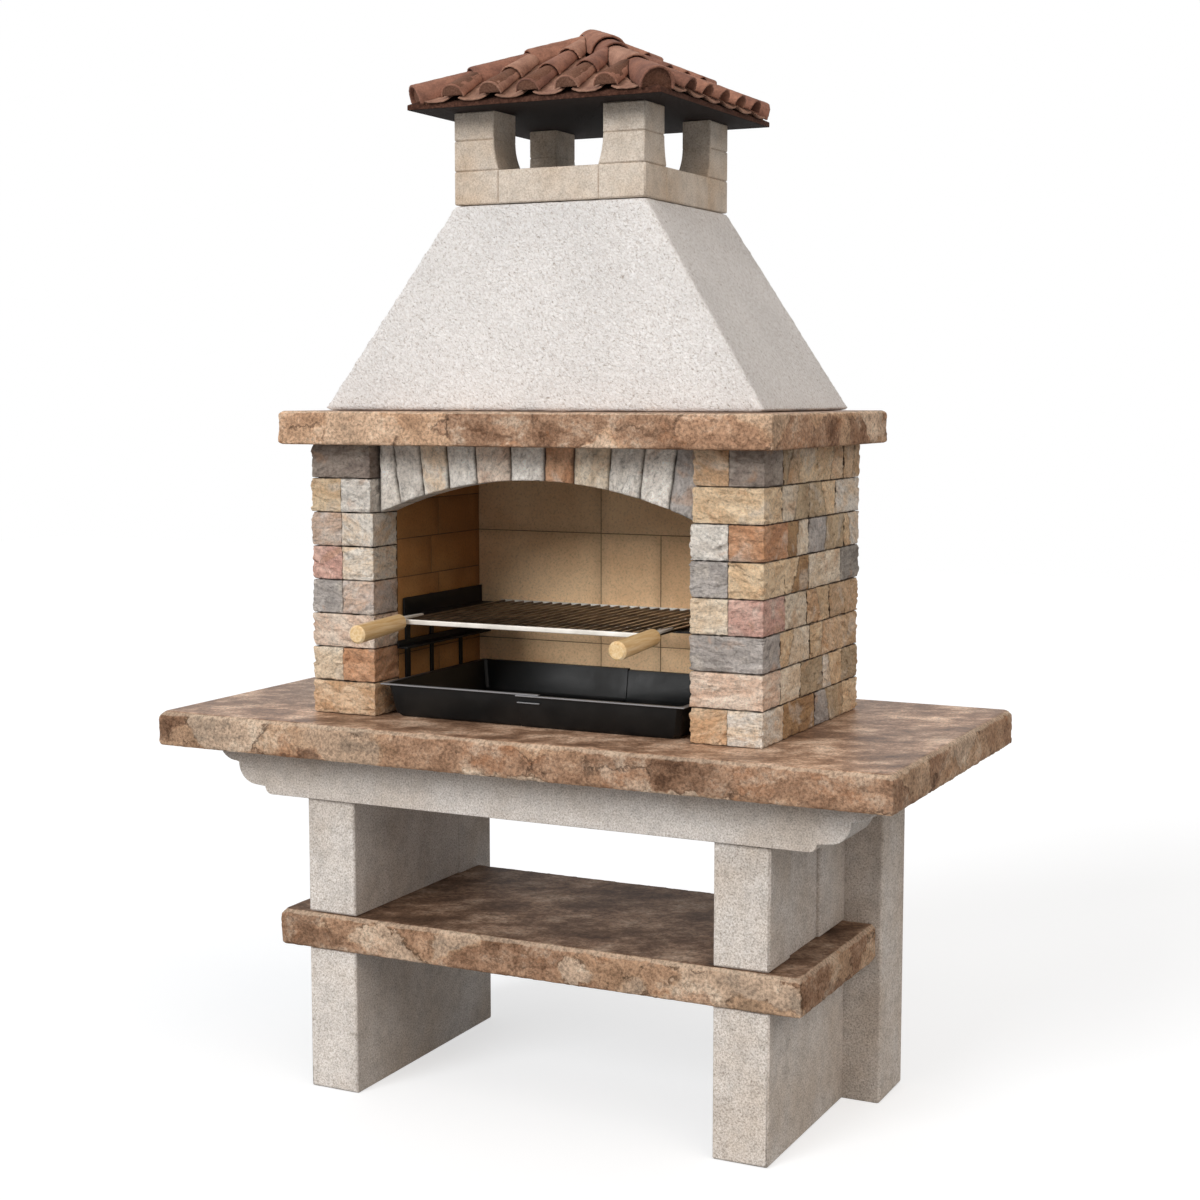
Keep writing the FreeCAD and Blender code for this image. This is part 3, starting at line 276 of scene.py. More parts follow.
def cast_stone(name, gloss, roughness, lift, top_lift_and_shade):
    """Cast stone, ground on top: pale and brown patches with drifts, dark stains, flecks and sandy grit.

    The split edges are dry, with sandy patches of tan, brown and grey, rust and dark cracks. The grit is
    drawn two or three times as coarse as it is, so that it shows.
    Lift is how much paler than the common mix a slab was cast, and top lift how pale its ground top is
    drawn, where a value below one is a painted shade for a slab that lies in shade."""
    material, tree, surface, where = new_material(name, roughness)
    drawn = add(tree, "Mapping", {"Vector": where, "Scale": (1.35, 1.0, 1.0), "Rotation": (0.0, 0.0, 0.5)},
                vector_type="TEXTURE")
    veins = add(tree, "TexNoise", {"Vector": drawn, "Scale": per(72), "Detail": 12.0, "Roughness": 0.7})
    top_tone = add(tree, "ValToRGB", {"Fac": veins},
                   stops=((0.35, "#5c4536"), (0.45, "#7f634f"), (0.50, "#927560"), (0.55, "#a98c76"),
                          (0.65, "#cbb29c")))
    drifts = add(tree, "TexNoise", {"Vector": where, "Scale": per(190), "Detail": 3.0})
    # The top lift scales the ground top's tone; below one it is a painted shade.
    drifts = add(tree, "ValToRGB", {"Fac": drifts}, stops=((0.36, 0.78 * top_lift_and_shade), (0.62, 1.14 * top_lift_and_shade)))
    top_tone = add(tree, "Mix", {"Factor": 1.0, "A_Color": top_tone, "B_Color": drifts},
                   data_type="RGBA", blend_type="MULTIPLY")
    stains = add(tree, "TexNoise", {"Vector": where, "Scale": per(95), "Detail": 9.0, "Roughness": 0.66})
    stains = add(tree, "ValToRGB", {"Fac": stains}, stops=((0.53, 0.0), (0.65, 0.45)))
    top_tone = add(tree, "Mix", {"Factor": stains, "A_Color": top_tone, "B_Color": linear("#4b3628")},
                   data_type="RGBA")
    wander = add(tree, "TexNoise", {"Vector": where, "Scale": per(30), "Detail": 5.0, "Roughness": 0.65},
                 out="Color")
    bent = add(tree, "VectorMath", {0: wander, 1: (EDGE_WANDER,) * 3, 2: where}, operation="MULTIPLY_ADD")
    flat = add(tree, "Mapping", {"Vector": bent, "Scale": (0.6, 0.6, 1.0)})
    patches = add(tree, "TexVoronoi", {"Vector": flat, "Scale": per(84), "Smoothness": 0.14}, out="Color",
                  feature="SMOOTH_F1")
    patches = add(tree, "SeparateColor", {"Color": patches}, out="Red")
    edge_tone = add(tree, "ValToRGB", {"Fac": patches},
                    stops=((0.10, "#71533f"), (0.26, "#a07b61"), (0.50, "#b59274"), (0.74, "#c8a98b"),
                           (0.92, "#d3bfa9")))
    clouds = add(tree, "TexNoise", {"Vector": flat, "Scale": per(62), "Detail": 11.0, "Roughness": 0.74})
    cloud_tone = add(tree, "ValToRGB", {"Fac": clouds},
                     stops=((0.38, "#4f3829"), (0.45, "#98775f"), (0.54, "#bf9d82"), (0.61, "#e0cab3")))
    edge_tone = add(tree, "Mix", {"Factor": 0.5, "A_Color": edge_tone, "B_Color": cloud_tone},
                    data_type="RGBA")
    rust = add(tree, "TexNoise", {"Vector": flat, "Scale": per(60), "Detail": 7.0, "Roughness": 0.65})
    rust = add(tree, "ValToRGB", {"Fac": rust}, stops=((0.57, 0.0), (0.67, 0.4)))
    edge_tone = add(tree, "Mix", {"Factor": rust, "A_Color": edge_tone, "B_Color": linear("#a2683f")},
                    data_type="RGBA")
    cracks = add(tree, "TexVoronoi", {"Vector": flat, "Scale": per(84)}, feature="DISTANCE_TO_EDGE")
    cracks = add(tree, "ValToRGB", {"Fac": cracks}, stops=((0.004, 0.7), (0.03, 0.0)))
    fresh = add(tree, "TexNoise", {"Vector": where, "Scale": per(60), "Detail": 4.0})
    fresh = add(tree, "ValToRGB", {"Fac": fresh}, stops=((0.48, 0.0), (0.58, 1.0)))
    cracks = add(tree, "Math", {0: cracks, 1: fresh}, operation="MULTIPLY")
    edge_tone = add(tree, "Mix", {"Factor": cracks, "A_Color": edge_tone, "B_Color": linear("#3d2d24")},
                    data_type="RGBA")
    facing = add(tree, "SeparateXYZ", {"Vector": add(tree, "NewGeometry", {}, out="Normal")}, out="Z")
    on_top = add(tree, "ValToRGB", {"Fac": facing}, stops=((0.80, 0.0), (0.96, 1.0)))
    tone = add(tree, "Mix", {"Factor": on_top, "A_Color": edge_tone, "B_Color": top_tone}, data_type="RGBA")
    # Painted highlight: a pale band on the rounded arris, where the top turns into the split edge, as light
    # catches it there.
    arris = add(tree, "ValToRGB", {"Fac": facing},
                stops=((0.45, 0.0), (0.62, 0.55), (0.84, 0.55), (0.95, 0.0)))
    tone = add(tree, "Mix", {"Factor": arris, "A_Color": tone, "B_Color": linear("#cdb8a2")},
               data_type="RGBA")
    flecks = add(tree, "TexNoise", {"Vector": where, "Scale": per(24), "Detail": 7.0, "Roughness": 0.7})
    flecks = add(tree, "ValToRGB", {"Fac": flecks}, stops=((0.58, 0.0), (0.68, 0.45)))
    tone = add(tree, "Mix", {"Factor": flecks, "A_Color": tone, "B_Color": linear("#43332a")},
               data_type="RGBA")
    grit = add(tree, "TexNoise", {"Vector": where, "Scale": per(6.5), "Detail": 3.0, "Roughness": 0.7})
    speckle = add(tree, "ValToRGB", {"Fac": grit},
                  stops=((0.38, 0.64 * lift), (0.50, lift), (0.62, 1.24 * lift)))
    tone = add(tree, "Mix", {"Factor": 1.0, "A_Color": tone, "B_Color": speckle},
               data_type="RGBA", blend_type="MULTIPLY")
    tree.links.new(tone, surface["Base Color"])
    surface["Specular IOR Level"].default_value = gloss
    polish = add(tree, "ValToRGB", {"Fac": on_top}, stops=((0.0, 0.9), (1.0, roughness)))
    tree.links.new(polish, surface["Roughness"])
    dry = add(tree, "Math", {0: 1.08, 1: on_top}, operation="SUBTRACT")
    breaks = add(tree, "TexNoise", {"Vector": where, "Scale": per(11), "Detail": 7.0, "Roughness": 0.7})
    height = add(tree, "Math", {0: breaks, 1: dry}, operation="MULTIPLY")
    relief = add(tree, "Bump", {"Height": height, "Strength": 1.0, "Distance": 5 * MM})
    tree.links.new(relief, surface["Normal"])
    return material


def split_slab(name, material, voxel):
    """Replaces a CAD slab by one with split edges."""
    low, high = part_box(name)
    bm = remeshed(solids(name)[0], voxel)
    crisp_corners(bm, low, high)
    split_edges(bm, low, high)
    place(name + "_stone", bm, material, "slab_stone", [name])


# Ground cast stone: not sealed, so it shines far less than the worktop. Its top is drawn darker, a painted
# shade for the shade it lies in under the worktop.
shelf_stone_painted_shade = cast_stone("ground_cast_stone_shaded_top", gloss=0.12, roughness=0.62, lift=1.0, top_lift_and_shade=0.78)
split_slab("shelf", shelf_stone_painted_shade, SLAB_VOXEL)


# Front lintel: one precast concrete beam with a moulded end at each side, from the same mix as the legs.
# It lies on the front blocks and carries the front edge of the worktop.

eased_copy("front_lintel", leg_concrete, "leg_concrete", "masonry", LEG_ARRIS)


# Worktop: the large cast-stone slab on the legs, which is also the hearth under the firebox.
# It is made as the shelf is, with edges split by hand, and its top is sealed.

WORKTOP_VOXEL = 5.6 * MM

# Sealed cast stone: a clear stone oil gives the ground top a soft shine.
sealed_stone = cast_stone("sealed_cast_stone", gloss=0.2, roughness=0.45, lift=1.0, top_lift_and_shade=1.36)
split_slab("worktop", sealed_stone, WORKTOP_VOXEL)


# Firebox walls: split stone blocks of many colours, laid in eight courses with thin tight joints.
# Every course is bonded over the one below, and the outer faces are left as the hammer broke them.

STONE_STEP = 4.2 * MM
STONE_RELIEF = 6.0 * MM
STONE_REACH = 16.0 * MM
STONE_ARRIS = 1.5 * MM
STONE_CHIP = 30.0 * MM
STONE_PILLOW = 1.6 * MM
PILLOW_REACH = 9.0 * MM
STONE_SETBACK = 2.2 * MM
JOINT_NIBBLE = 2.2 * MM
JOINT_REACH = 9.0 * MM
NIBBLE_CHIP = 14.0 * MM
SAME_PLANE = 6.0 * MM
FLAKE_SCALE = (0.8, 0.8, 1.7)
FLAKE_TURN = 0.5
SHADES = (1.0, 1.18)
GRAIN_TURN = 0.7
SEAM_SHARE = 0.6
SEAM_PLACES = (0.35, 0.65)
SEAM_LEAN = 0.7
SEAM_TURN = 0.9
FIRST_CUTS = (4.5 * MM, 9.0 * MM, 15.0 * MM)
STONE_TINTS = {
    "cream": ("#e3d4bf", "#d2bb9f"),
    "blush": ("#e1cebc", "#d2b29b"),
    "peach": ("#ddc1a2", "#c19871"),
    "straw": ("#dec6a6", "#cbab86"),
    "tan": ("#cfb293", "#b69673"),
    "olive": ("#c1ab8d", "#a79073"),
    "umber": ("#ab8963", "#8f6c4a"),
    "terracotta": ("#cb9f7e", "#b27f5b"),
    "rose": ("#cdaa9c", "#bc9184"),
    "lilac": ("#c1b5ad", "#c7a992"),
    "pearl": ("#ddd5ca", "#d8bfa2"),
    "white": ("#e8e2d9", "#cfc6bc"),
    "blue_grey": ("#b7b0ab", "#99928d"),
    "slate": ("#958e87", "#7c756e"),
    "dark": ("#988b80", "#7e7067"),
}
LEFT_PILLAR = ("peach", "terracotta", "cream", "blush", "lilac", "blue_grey", "pearl", "rose", "pearl",
               "lilac", "white", "straw", "dark")
RIGHT_PILLAR = ("peach", "pearl", "blush", "blue_grey", "cream", "rose", "blue_grey", "straw", "white",
                "terracotta", "straw", "peach", "dark")
SIDE_MIX = ("straw", "olive", "cream", "tan", "blue_grey", "straw", "tan", "pearl", "olive", "umber",
            "straw", "cream", "slate", "peach", "tan", "straw", "cream")


def sliced(bm, axis, places):
    """Cuts a bmesh by planes across one axis, so that it has faces to move there."""
    for spot in places:
        centre = Vector((0, 0, 0))
        normal = Vector((0, 0, 0))
        centre[axis] = spot
        normal[axis] = 1
        geometry = bm.verts[:] + bm.edges[:] + bm.faces[:]
        bmesh.ops.bisect_plane(bm, geom=geometry, dist=SMALLEST, plane_co=centre, plane_no=normal)


def break_face(bm, low, high, open_sides, relief, chip, turn, setback):
    """Moves the open sides of a block back to a broken face, and marks its joints."""
    groove = bm.verts.layers.float["groove"]
    for vert in bm.verts:
        spot = vert.co.copy()
        joint = min(
            abs(spot[axis] - plane)
            for axis in range(3)
            for plane, side in ((low[axis], -1), (high[axis], 1))
            if (axis, side) not in open_sides
        )
        vert[groove] = max(0.0, 1 - joint / STONE_ARRIS)
        pillow = STONE_PILLOW * max(0.0, 1 - joint / PILLOW_REACH) ** 2
        face_share = 0.0
        for axis, side in open_sides:
            plane = high[axis] if side > 0 else low[axis]
            inside = abs(spot[axis] - plane)
            if inside < STONE_REACH:
                share = 1 - inside / STONE_REACH
                face_share = max(face_share, share)
                depth = flakes(turn @ spot, chip) + (pillow + setback) / STONE_RELIEF
                vert.co[axis] -= side * relief * share * depth
        if joint < JOINT_REACH and face_share > 0:
            pull = (1 - joint / JOINT_REACH) * face_share * relief / STONE_RELIEF
            middle = (low + high) / 2
            for axis in range(3):
                if not any(axis == open_axis for open_axis, side in open_sides):
                    towards = 1 if middle[axis] > spot[axis] else -1
                    vert.co[axis] += towards * JOINT_NIBBLE * pull * flakes(spot, NIBBLE_CHIP)


def ends(bm):
    """Lowest and highest corner of a bmesh."""
    low = Vector([min(vert.co[axis] for vert in bm.verts) for axis in range(3)])
    high = Vector([max(vert.co[axis] for vert in bm.verts) for axis in range(3)])
    return low, high


def tinted(bm, tints, chance, others=None):
    """Gives a block its tints, a little lighter or darker than its fellows, and its own grain.

    Where other tints are named, the block shows them beyond a slanting seam."""
    for name in ("tint", "second"):
        bm.verts.layers.float_color.new(name)
    for name in ("groove", "turn"):
        bm.verts.layers.float.new(name)
    tint, second = (bm.verts.layers.float_color[name] for name in ("tint", "second"))
    turn = bm.verts.layers.float["turn"]
    shade = chance.uniform(*SHADES)
    angle = chance.uniform(-GRAIN_TURN, GRAIN_TURN)
    low, high = ends(bm)
    middle = low + (high - low) * chance.uniform(*SEAM_PLACES)
    across = Vector((0.2, 1.0, chance.uniform(-SEAM_LEAN, SEAM_LEAN)))
    for vert in bm.verts:
        beyond = others and (vert.co - middle).dot(across) > 0
        pair = [linear(code) for code in (others if beyond else tints)]
        vert[tint] = (*(shade * c for c in pair[0][:3]), 1.0)
        vert[second] = (*(shade * c for c in pair[1][:3]), 1.0)
        vert[turn] = angle + (SEAM_TURN if beyond else 0.0)


def laid_block(low, high, open_sides, tints, step, relief, arris, chip, chance, others=None):
    """One block of masonry: a box with eased arrises and broken faces on its open sides."""
    bm = bmesh.new()
    bmesh.ops.create_cube(bm, size=1)
    bmesh.ops.scale(bm, vec=high - low, verts=bm.verts)
    bmesh.ops.translate(bm, vec=(low + high) / 2, verts=bm.verts)
    bmesh.ops.bevel(bm, geom=bm.edges[:], offset=arris, segments=2, profile=0.5, affect="EDGES", material=-1)
    open_axes = {axis for axis, side in open_sides}
    for axis in range(3):
        if open_axes - {axis}:
            count = max(2, round((high[axis] - low[axis]) / step))
            sliced(bm, axis, [low[axis] + (high[axis] - low[axis]) * i / count for i in range(1, count)])
        elif (axis, 1) in open_sides:
            sliced(bm, axis, [high[axis] - cut for cut in FIRST_CUTS])
        else:
            sliced(bm, axis, [low[axis] + cut for cut in FIRST_CUTS])
    tinted(bm, tints, chance, others)
    axis_turn = Vector((0, 1, 0)) if (1, -1) in open_sides else Vector((1, 0, 0))
    lean = chance.uniform(-FLAKE_TURN, FLAKE_TURN)
    turn = Matrix.Diagonal(FLAKE_SCALE) @ Matrix.Rotation(lean, 3, axis_turn)
    break_face(bm, low, high, open_sides, relief, chip, turn, chance.uniform(0, STONE_SETBACK))
    return bm


def open_planes(low, high, wall_low, wall_high, choices):
    """Sides of a block that lie in one of the wall's open planes."""
    found = set()
    for axis, side in choices:
        here, plane = (high, wall_high) if side > 0 else (low, wall_low)
        if abs(here[axis] - plane[axis]) < SAME_PLANE:
            found.add((axis, side))
    return found


def split_stone_wall(name, names, chance, choices, seams=0.0):
    """Lays the blocks of a wall, from the lowest course up, each with its named tint.

    A share of the blocks has a seam with another tint beyond it."""
    wall_low, wall_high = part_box(name)
    boxes = sorted((ends(bm) for bm in solids(name)),
                   key=lambda box: (round(box[0].z, 2), abs(box[0].x + box[1].x), box[0].y))
    step = STONE_STEP
    blocks = []
    for number, (low, high) in enumerate(boxes):
        open_sides = open_planes(low, high, wall_low, wall_high, choices)
        tints = STONE_TINTS[names[number % len(names)]]
        others = STONE_TINTS[names[(number + 3) % len(names)]] if chance.random() < seams else None
        if open_sides:
            blocks.append(laid_block(low, high, open_sides, tints, step, STONE_RELIEF, STONE_ARRIS,
                                     STONE_CHIP, chance, others))
    place(name + "_split", gathered(blocks), split_stone, "wall_stone", [name], crease=34)


# Split sandstone: each block has its own two tints in drifting bands and its own slant of bedding, with
# sandy grain, rusty stains and dark bedding lines, and the tight joints stay dark. The grain is drawn
# coarser than it is, so that it shows.
split_stone, tree, surface, where = new_material("split_sandstone", 0.9)
slant = add(tree, "Attribute", {}, out="Fac", attribute_name="turn")
leaning = add(tree, "VectorRotate", {"Vector": where, "Axis": (0.7, 0.7, 0.0), "Angle": slant})
bedded = add(tree, "Mapping", {"Vector": leaning, "Scale": (0.9, 0.9, 2.2)})
bands = add(tree, "TexNoise", {"Vector": bedded, "Scale": per(70), "Detail": 7.0, "Roughness": 0.62,
                               "Distortion": 0.4})
bands = add(tree, "ValToRGB", {"Fac": bands}, stops=((0.43, 0.0), (0.58, 0.8)))
first = add(tree, "Attribute", {}, out="Color", attribute_name="tint")
other = add(tree, "Attribute", {}, out="Color", attribute_name="second")
tone = add(tree, "Mix", {"Factor": bands, "A_Color": first, "B_Color": other}, data_type="RGBA")
stains = add(tree, "TexNoise", {"Vector": leaning, "Scale": per(60), "Detail": 6.0, "Distortion": 0.7})
rusty = add(tree, "ValToRGB", {"Fac": stains}, stops=((0.59, 0.0), (0.67, 0.35)))
tone = add(tree, "Mix", {"Factor": rusty, "A_Color": tone, "B_Color": linear("#bd8c62")}, data_type="RGBA")
chalky = add(tree, "ValToRGB", {"Fac": stains}, stops=((0.32, 0.45), (0.43, 0.0)))
tone = add(tree, "Mix", {"Factor": chalky, "A_Color": tone, "B_Color": linear("#dfd5c8")}, data_type="RGBA")
lines = add(tree, "TexNoise", {"Vector": bedded, "Scale": per(24), "Detail": 8.0, "Roughness": 0.7,
                               "Distortion": 0.6})
line_tone = add(tree, "ValToRGB", {"Fac": lines}, stops=((0.35, 0.66), (0.45, 1.03), (0.64, 1.18)))
tone = add(tree, "Mix", {"Factor": 1.0, "A_Color": tone, "B_Color": line_tone},
           data_type="RGBA", blend_type="MULTIPLY")
grit = add(tree, "TexNoise", {"Vector": where, "Scale": per(6), "Detail": 3.0, "Roughness": 0.7})
speckle = add(tree, "ValToRGB", {"Fac": grit}, stops=((0.38, 0.80), (0.50, 1.04), (0.62, 1.17)))
tone = add(tree, "Mix", {"Factor": 1.0, "A_Color": tone, "B_Color": speckle},
           data_type="RGBA", blend_type="MULTIPLY")
groove = add(tree, "Attribute", {}, out="Fac", attribute_name="groove")
broken = add(tree, "ValToRGB", {"Fac": stains}, stops=((0.40, 0.45), (0.58, 1.0)))
groove = add(tree, "Math", {0: groove, 1: broken}, operation="MULTIPLY")
tone = add(tree, "Mix", {"Factor": groove, "A_Color": tone, "B_Color": linear("#43362b")}, data_type="RGBA")
tree.links.new(tone, surface["Base Color"])
relief = add(tree, "Bump", {"Height": lines, "Strength": 1.0, "Distance": 12 * MM})
relief = add(tree, "Bump", {"Height": grit, "Strength": 0.7, "Distance": 1.5 * MM, "Normal": relief})
tree.links.new(relief, surface["Normal"])

OUT = {"left": -1, "right": 1}
for side, names in (("left", LEFT_PILLAR), ("right", RIGHT_PILLAR)):
    split_stone_wall(side + "_pillar_stones", names, random.Random(side), [(1, -1), (0, -1), (0, 1)])
    mix = list(SIDE_MIX)
    random.Random("sides " + side).shuffle(mix)
    split_stone_wall(side + "_side_stones", mix, random.Random("wall " + side), [(0, OUT[side]), (1, 1)],
                     SEAM_SHARE)


# Firebrick lining: pressed chamotte bricks and slabs, laid dry against the walls with hair joints.
# The side bricks are a warm orange tan, the large slabs at the back paler and fine-grained.

BRICK_STEP = 24.0 * MM
BRICK_ARRIS = 1.2 * MM
BRICK_RELIEF = 0.8 * MM
BRICK_CHIP = 12.0 * MM
LINING_TINTS = ("#b3824c", "#9f6c3a")
BACK_TINTS = ("#ecc99f", "#dcb489")


def firebrick_lining(name, tints, choices):
    """Lays the bricks of one side of the lining."""
    wall_low, wall_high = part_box(name)
    chance = random.Random(name)
    blocks = []
    for low, high in (ends(bm) for bm in solids(name)):
        open_sides = open_planes(low, high, wall_low, wall_high, choices)
        blocks.append(laid_block(low, high, open_sides, tints, BRICK_STEP, BRICK_RELIEF, BRICK_ARRIS,
                                 BRICK_CHIP, chance))
    place(name + "_laid", gathered(blocks), chamotte, "firebrick", [name], crease=50)


# Chamotte: dry pressed clay with pale and dark grog grains, faint clouds from the kiln and a trace of soot.
chamotte, tree, surface, where = new_material("pressed_chamotte", 0.95)
kiln = add(tree, "TexNoise", {"Vector": where, "Scale": per(140), "Detail": 4.0})
kiln = add(tree, "ValToRGB", {"Fac": kiln}, stops=((0.36, 0.0), (0.64, 1.0)))
first = add(tree, "Attribute", {}, out="Color", attribute_name="tint")
other = add(tree, "Attribute", {}, out="Color", attribute_name="second")
tone = add(tree, "Mix", {"Factor": kiln, "A_Color": first, "B_Color": other}, data_type="RGBA")
grog = add(tree, "TexNoise", {"Vector": where, "Scale": per(5), "Detail": 4.0, "Roughness": 0.75})
grog_tone = add(tree, "ValToRGB", {"Fac": grog}, stops=((0.30, 0.70), (0.48, 1.0), (0.72, 1.12)))
tone = add(tree, "Mix", {"Factor": 1.0, "A_Color": tone, "B_Color": grog_tone},
           data_type="RGBA", blend_type="MULTIPLY")
groove = add(tree, "Attribute", {}, out="Fac", attribute_name="groove")
tone = add(tree, "Mix", {"Factor": groove, "A_Color": tone, "B_Color": linear("#5e4730")}, data_type="RGBA")
tree.links.new(tone, surface["Base Color"])
relief = add(tree, "Bump", {"Height": grog, "Strength": 0.5, "Distance": 1.2 * MM})
tree.links.new(relief, surface["Normal"])

firebrick_lining("left_firebricks", LINING_TINTS, [(0, 1)])
firebrick_lining("right_firebricks", LINING_TINTS, [(0, -1)])
firebrick_lining("back_firebricks", BACK_TINTS, [(1, -1)])


# Rear panels: two plain concrete panels that close the firebox behind the lining.
# They come from the same moulds as the legs, and show only from the back.

eased_copy("rear_panels", leg_concrete, "leg_concrete", "masonry", LEG_ARRIS)


# Arch: eleven tapered stones that fan over the opening and lean on the pillars.
# They are split from a pale stone with its grain upright, and one or two are a warmer colour.

ARCH_JOINT = 4.2 * MM
ARCH_PILLOW = 6.0 * MM
ARCH_FLAKE_SCALE = (1.5, 0.8, 0.7)
ARCH_FLAKE_TURN = 0.3
ARCH_MIX = ("white", "white", "pearl", "white", "blush", "white", "terracotta", "cream", "white", "white",
            "blue_grey")


def arch_stone(bm, tints, chance, front):
    """One arch stone with a broken front face, eased towards its joints."""
    joints = [(face.calc_center_median(), face.normal.copy())
              for face in bm.faces if abs(face.normal.x) > 0.8]
    low, high = ends(bm)
    sliced(bm, 1, [front + cut for cut in FIRST_CUTS])
    for axis in (0, 2):
        count = max(2, round((high[axis] - low[axis]) / STONE_STEP))
        sliced(bm, axis, [low[axis] + (high[axis] - low[axis]) * i / count for i in range(1, count)])
    tinted(bm, tints, chance)
    groove = bm.verts.layers.float["groove"]
    grain = bm.verts.layers.float["turn"]
    lean = chance.uniform(-ARCH_FLAKE_TURN, ARCH_FLAKE_TURN)
    turn = Matrix.Diagonal(ARCH_FLAKE_SCALE) @ Matrix.Rotation(lean, 3, "Y")
    for vert in bm.verts:
        spot = vert.co.copy()
        joint = min(abs((spot - centre).dot(normal)) for centre, normal in joints)
        vert[groove] = max(0.0, 1 - joint / ARCH_JOINT)
        vert[grain] += math.pi / 2
        inside = spot.y - front
        if inside < STONE_REACH:
            pillow = ARCH_PILLOW * max(0.0, 1 - joint / PILLOW_REACH) ** 2
            depth = STONE_RELIEF * flakes(turn @ spot, STONE_CHIP) + pillow
            vert.co.y += (1 - inside / STONE_REACH) * depth
    return bm


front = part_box("arch_voussoirs")[0].y
chance = random.Random("arch")
arch = sorted(solids("arch_voussoirs"), key=lambda bm: sum(ends(bm), Vector()).x)
stones = [arch_stone(bm, STONE_TINTS[tint], chance, front) for bm, tint in zip(arch, ARCH_MIX)]
place("arch_split", gathered(stones), split_stone, "wall_stone", ["arch_voussoirs"], crease=34)


# Racks: two welded steel frames at the sides of the firebox, each with one folded ledge on which the
# grill slides and a narrow lower rail. They are stove enamelled in satin black.

SHEET_ROUND = 0.8 * MM


def black_finish(name, base, roughness, peel):
    """Stove enamel: nearly black, with a faint orange peel, a bloom of ash, and a painted highlight in pale
    grey along a rim that the mesh marks.
    """
    material, tree, surface, where = new_material(name, roughness)
    bloom = add(tree, "TexNoise", {"Vector": where, "Scale": per(70), "Detail": 6.0, "Roughness": 0.65})
    tone = add(tree, "ValToRGB", {"Fac": bloom}, stops=((0.45, base), (0.80, "#1d1c1b")))
    # Painted highlight: where the mesh marks the rim, the enamel turns pale grey, as light catches the rim's
    # edge.
    painted_rim_highlight = add(tree, "Attribute", {}, out="Fac", attribute_name="painted_rim_highlight")
    tone = add(tree, "Mix", {"Factor": painted_rim_highlight, "A_Color": tone, "B_Color": linear("#8f9093")},
               data_type="RGBA")
    tree.links.new(tone, surface["Base Color"])
    surface["Specular IOR Level"].default_value = 0.28
    dull = add(tree, "ValToRGB", {"Fac": bloom}, stops=((0.35, roughness), (0.75, roughness + 0.2)))
    tree.links.new(dull, surface["Roughness"])
    orange_peel = add(tree, "TexNoise", {"Vector": where, "Scale": per(peel), "Detail": 2.0})
    relief = add(tree, "Bump", {"Height": orange_peel, "Strength": 0.15, "Distance": 0.4 * MM})
    tree.links.new(relief, surface["Normal"])
    return material


black_steel = black_finish("satin_black_steel", "#101112", 0.42, 3.0)
for side in ("left", "right"):
    eased_copy(side + "_rack", black_steel, "black_steel", "masonry", SHEET_ROUND)


# Tray: two folded sheet halves that slide into each other, so that the tray fits any firebox.
# They are black enamel inside and out, with a painted highlight in pale grey along the front rim, and a
# small pull lip.

# Width of the band along the rim that is drawn as a painted highlight.
RIM_HIGHLIGHT_BAND = 1.4 * MM
TRAY_ROUND = 0.5 * MM

tray_enamel = black_finish("black_tray_enamel", "#0f1112", 0.36, 5.0)
for node, body in (("tray_right_half", "tray"), ("tray_left_half", "tray_extension"),
                   ("tray_pull_lip", "tray")):
    piece = eased_copy(node, tray_enamel, "tray_enamel", body, TRAY_ROUND)
    low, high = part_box(node)
    # Painted highlight: the top of the front rim is marked, so that the enamel there is drawn pale grey.
    rim_highlight_mask = piece.data.attributes.new("painted_rim_highlight", "FLOAT", "POINT")
    for vert, spot in zip(rim_highlight_mask.data, piece.data.vertices):
        on_rim = high.z - spot.co.z < 2 * RIM_HIGHLIGHT_BAND
        outside = spot.co.y - low.y < RIM_HIGHLIGHT_BAND
        vert.value = 1.0 if on_rim and outside else 0.0


# Grill: a welded mat of drawn steel rods on two cross rods, between a front bar and a rear bar.
# The rods are darkened by fire, and the two bars and the tangs stay bright.

ROD_SEGMENTS = 14
BAR_ROUND = 0.8 * MM
TANG_ROUND = 0.4 * MM


def steel(name, dark, light, roughness, metallic):
    """Drawn steel: lines along the rod, drawn coarser than they are, and tempered brown and grey clouds."""
    material, tree, surface, where = new_material(name, roughness, metallic)
    drawn = add(tree, "Mapping", {"Vector": where, "Scale": (1.0, 0.06, 1.0)})
    lines = add(tree, "TexNoise", {"Vector": drawn, "Scale": per(1.5), "Detail": 3.0})
    temper = add(tree, "TexNoise", {"Vector": where, "Scale": per(60), "Detail": 4.0})
    tone = add(tree, "ValToRGB", {"Fac": temper}, stops=((0.35, dark), (0.65, light)))
    tree.links.new(tone, surface["Base Color"])
    relief = add(tree, "Bump", {"Height": lines, "Strength": 0.25, "Distance": 0.2 * MM})
    tree.links.new(relief, surface["Normal"])
    return material


grill_steel = steel("drawn_steel", "#453c34", "#7d7165", 0.3, 0.85)
bright_steel = steel("zinc_plated_steel", "#c9c4bb", "#e6e2da", 0.45, 0.3)


def round_rods(name, node, axis):
    """Smooth round rods in place of the faceted ones of a CAD node."""
    whole = []
    for solid in solids(node):
        low, high = ends(solid)
        solid.free()
        bm = bmesh.new()
        radius = (high.z - low.z) / 2
        turn = Matrix.Rotation(math.pi / 2, 4, "XY"[1 - axis])
        where = Matrix.Translation((low + high) / 2) @ turn
        bmesh.ops.create_cone(bm, cap_ends=True, segments=ROD_SEGMENTS, radius1=radius, radius2=radius,
                              depth=high[axis] - low[axis], matrix=where)
        whole.append(bm)
    place(name, gathered(whole), grill_steel, "grill_steel", [node], "grill")


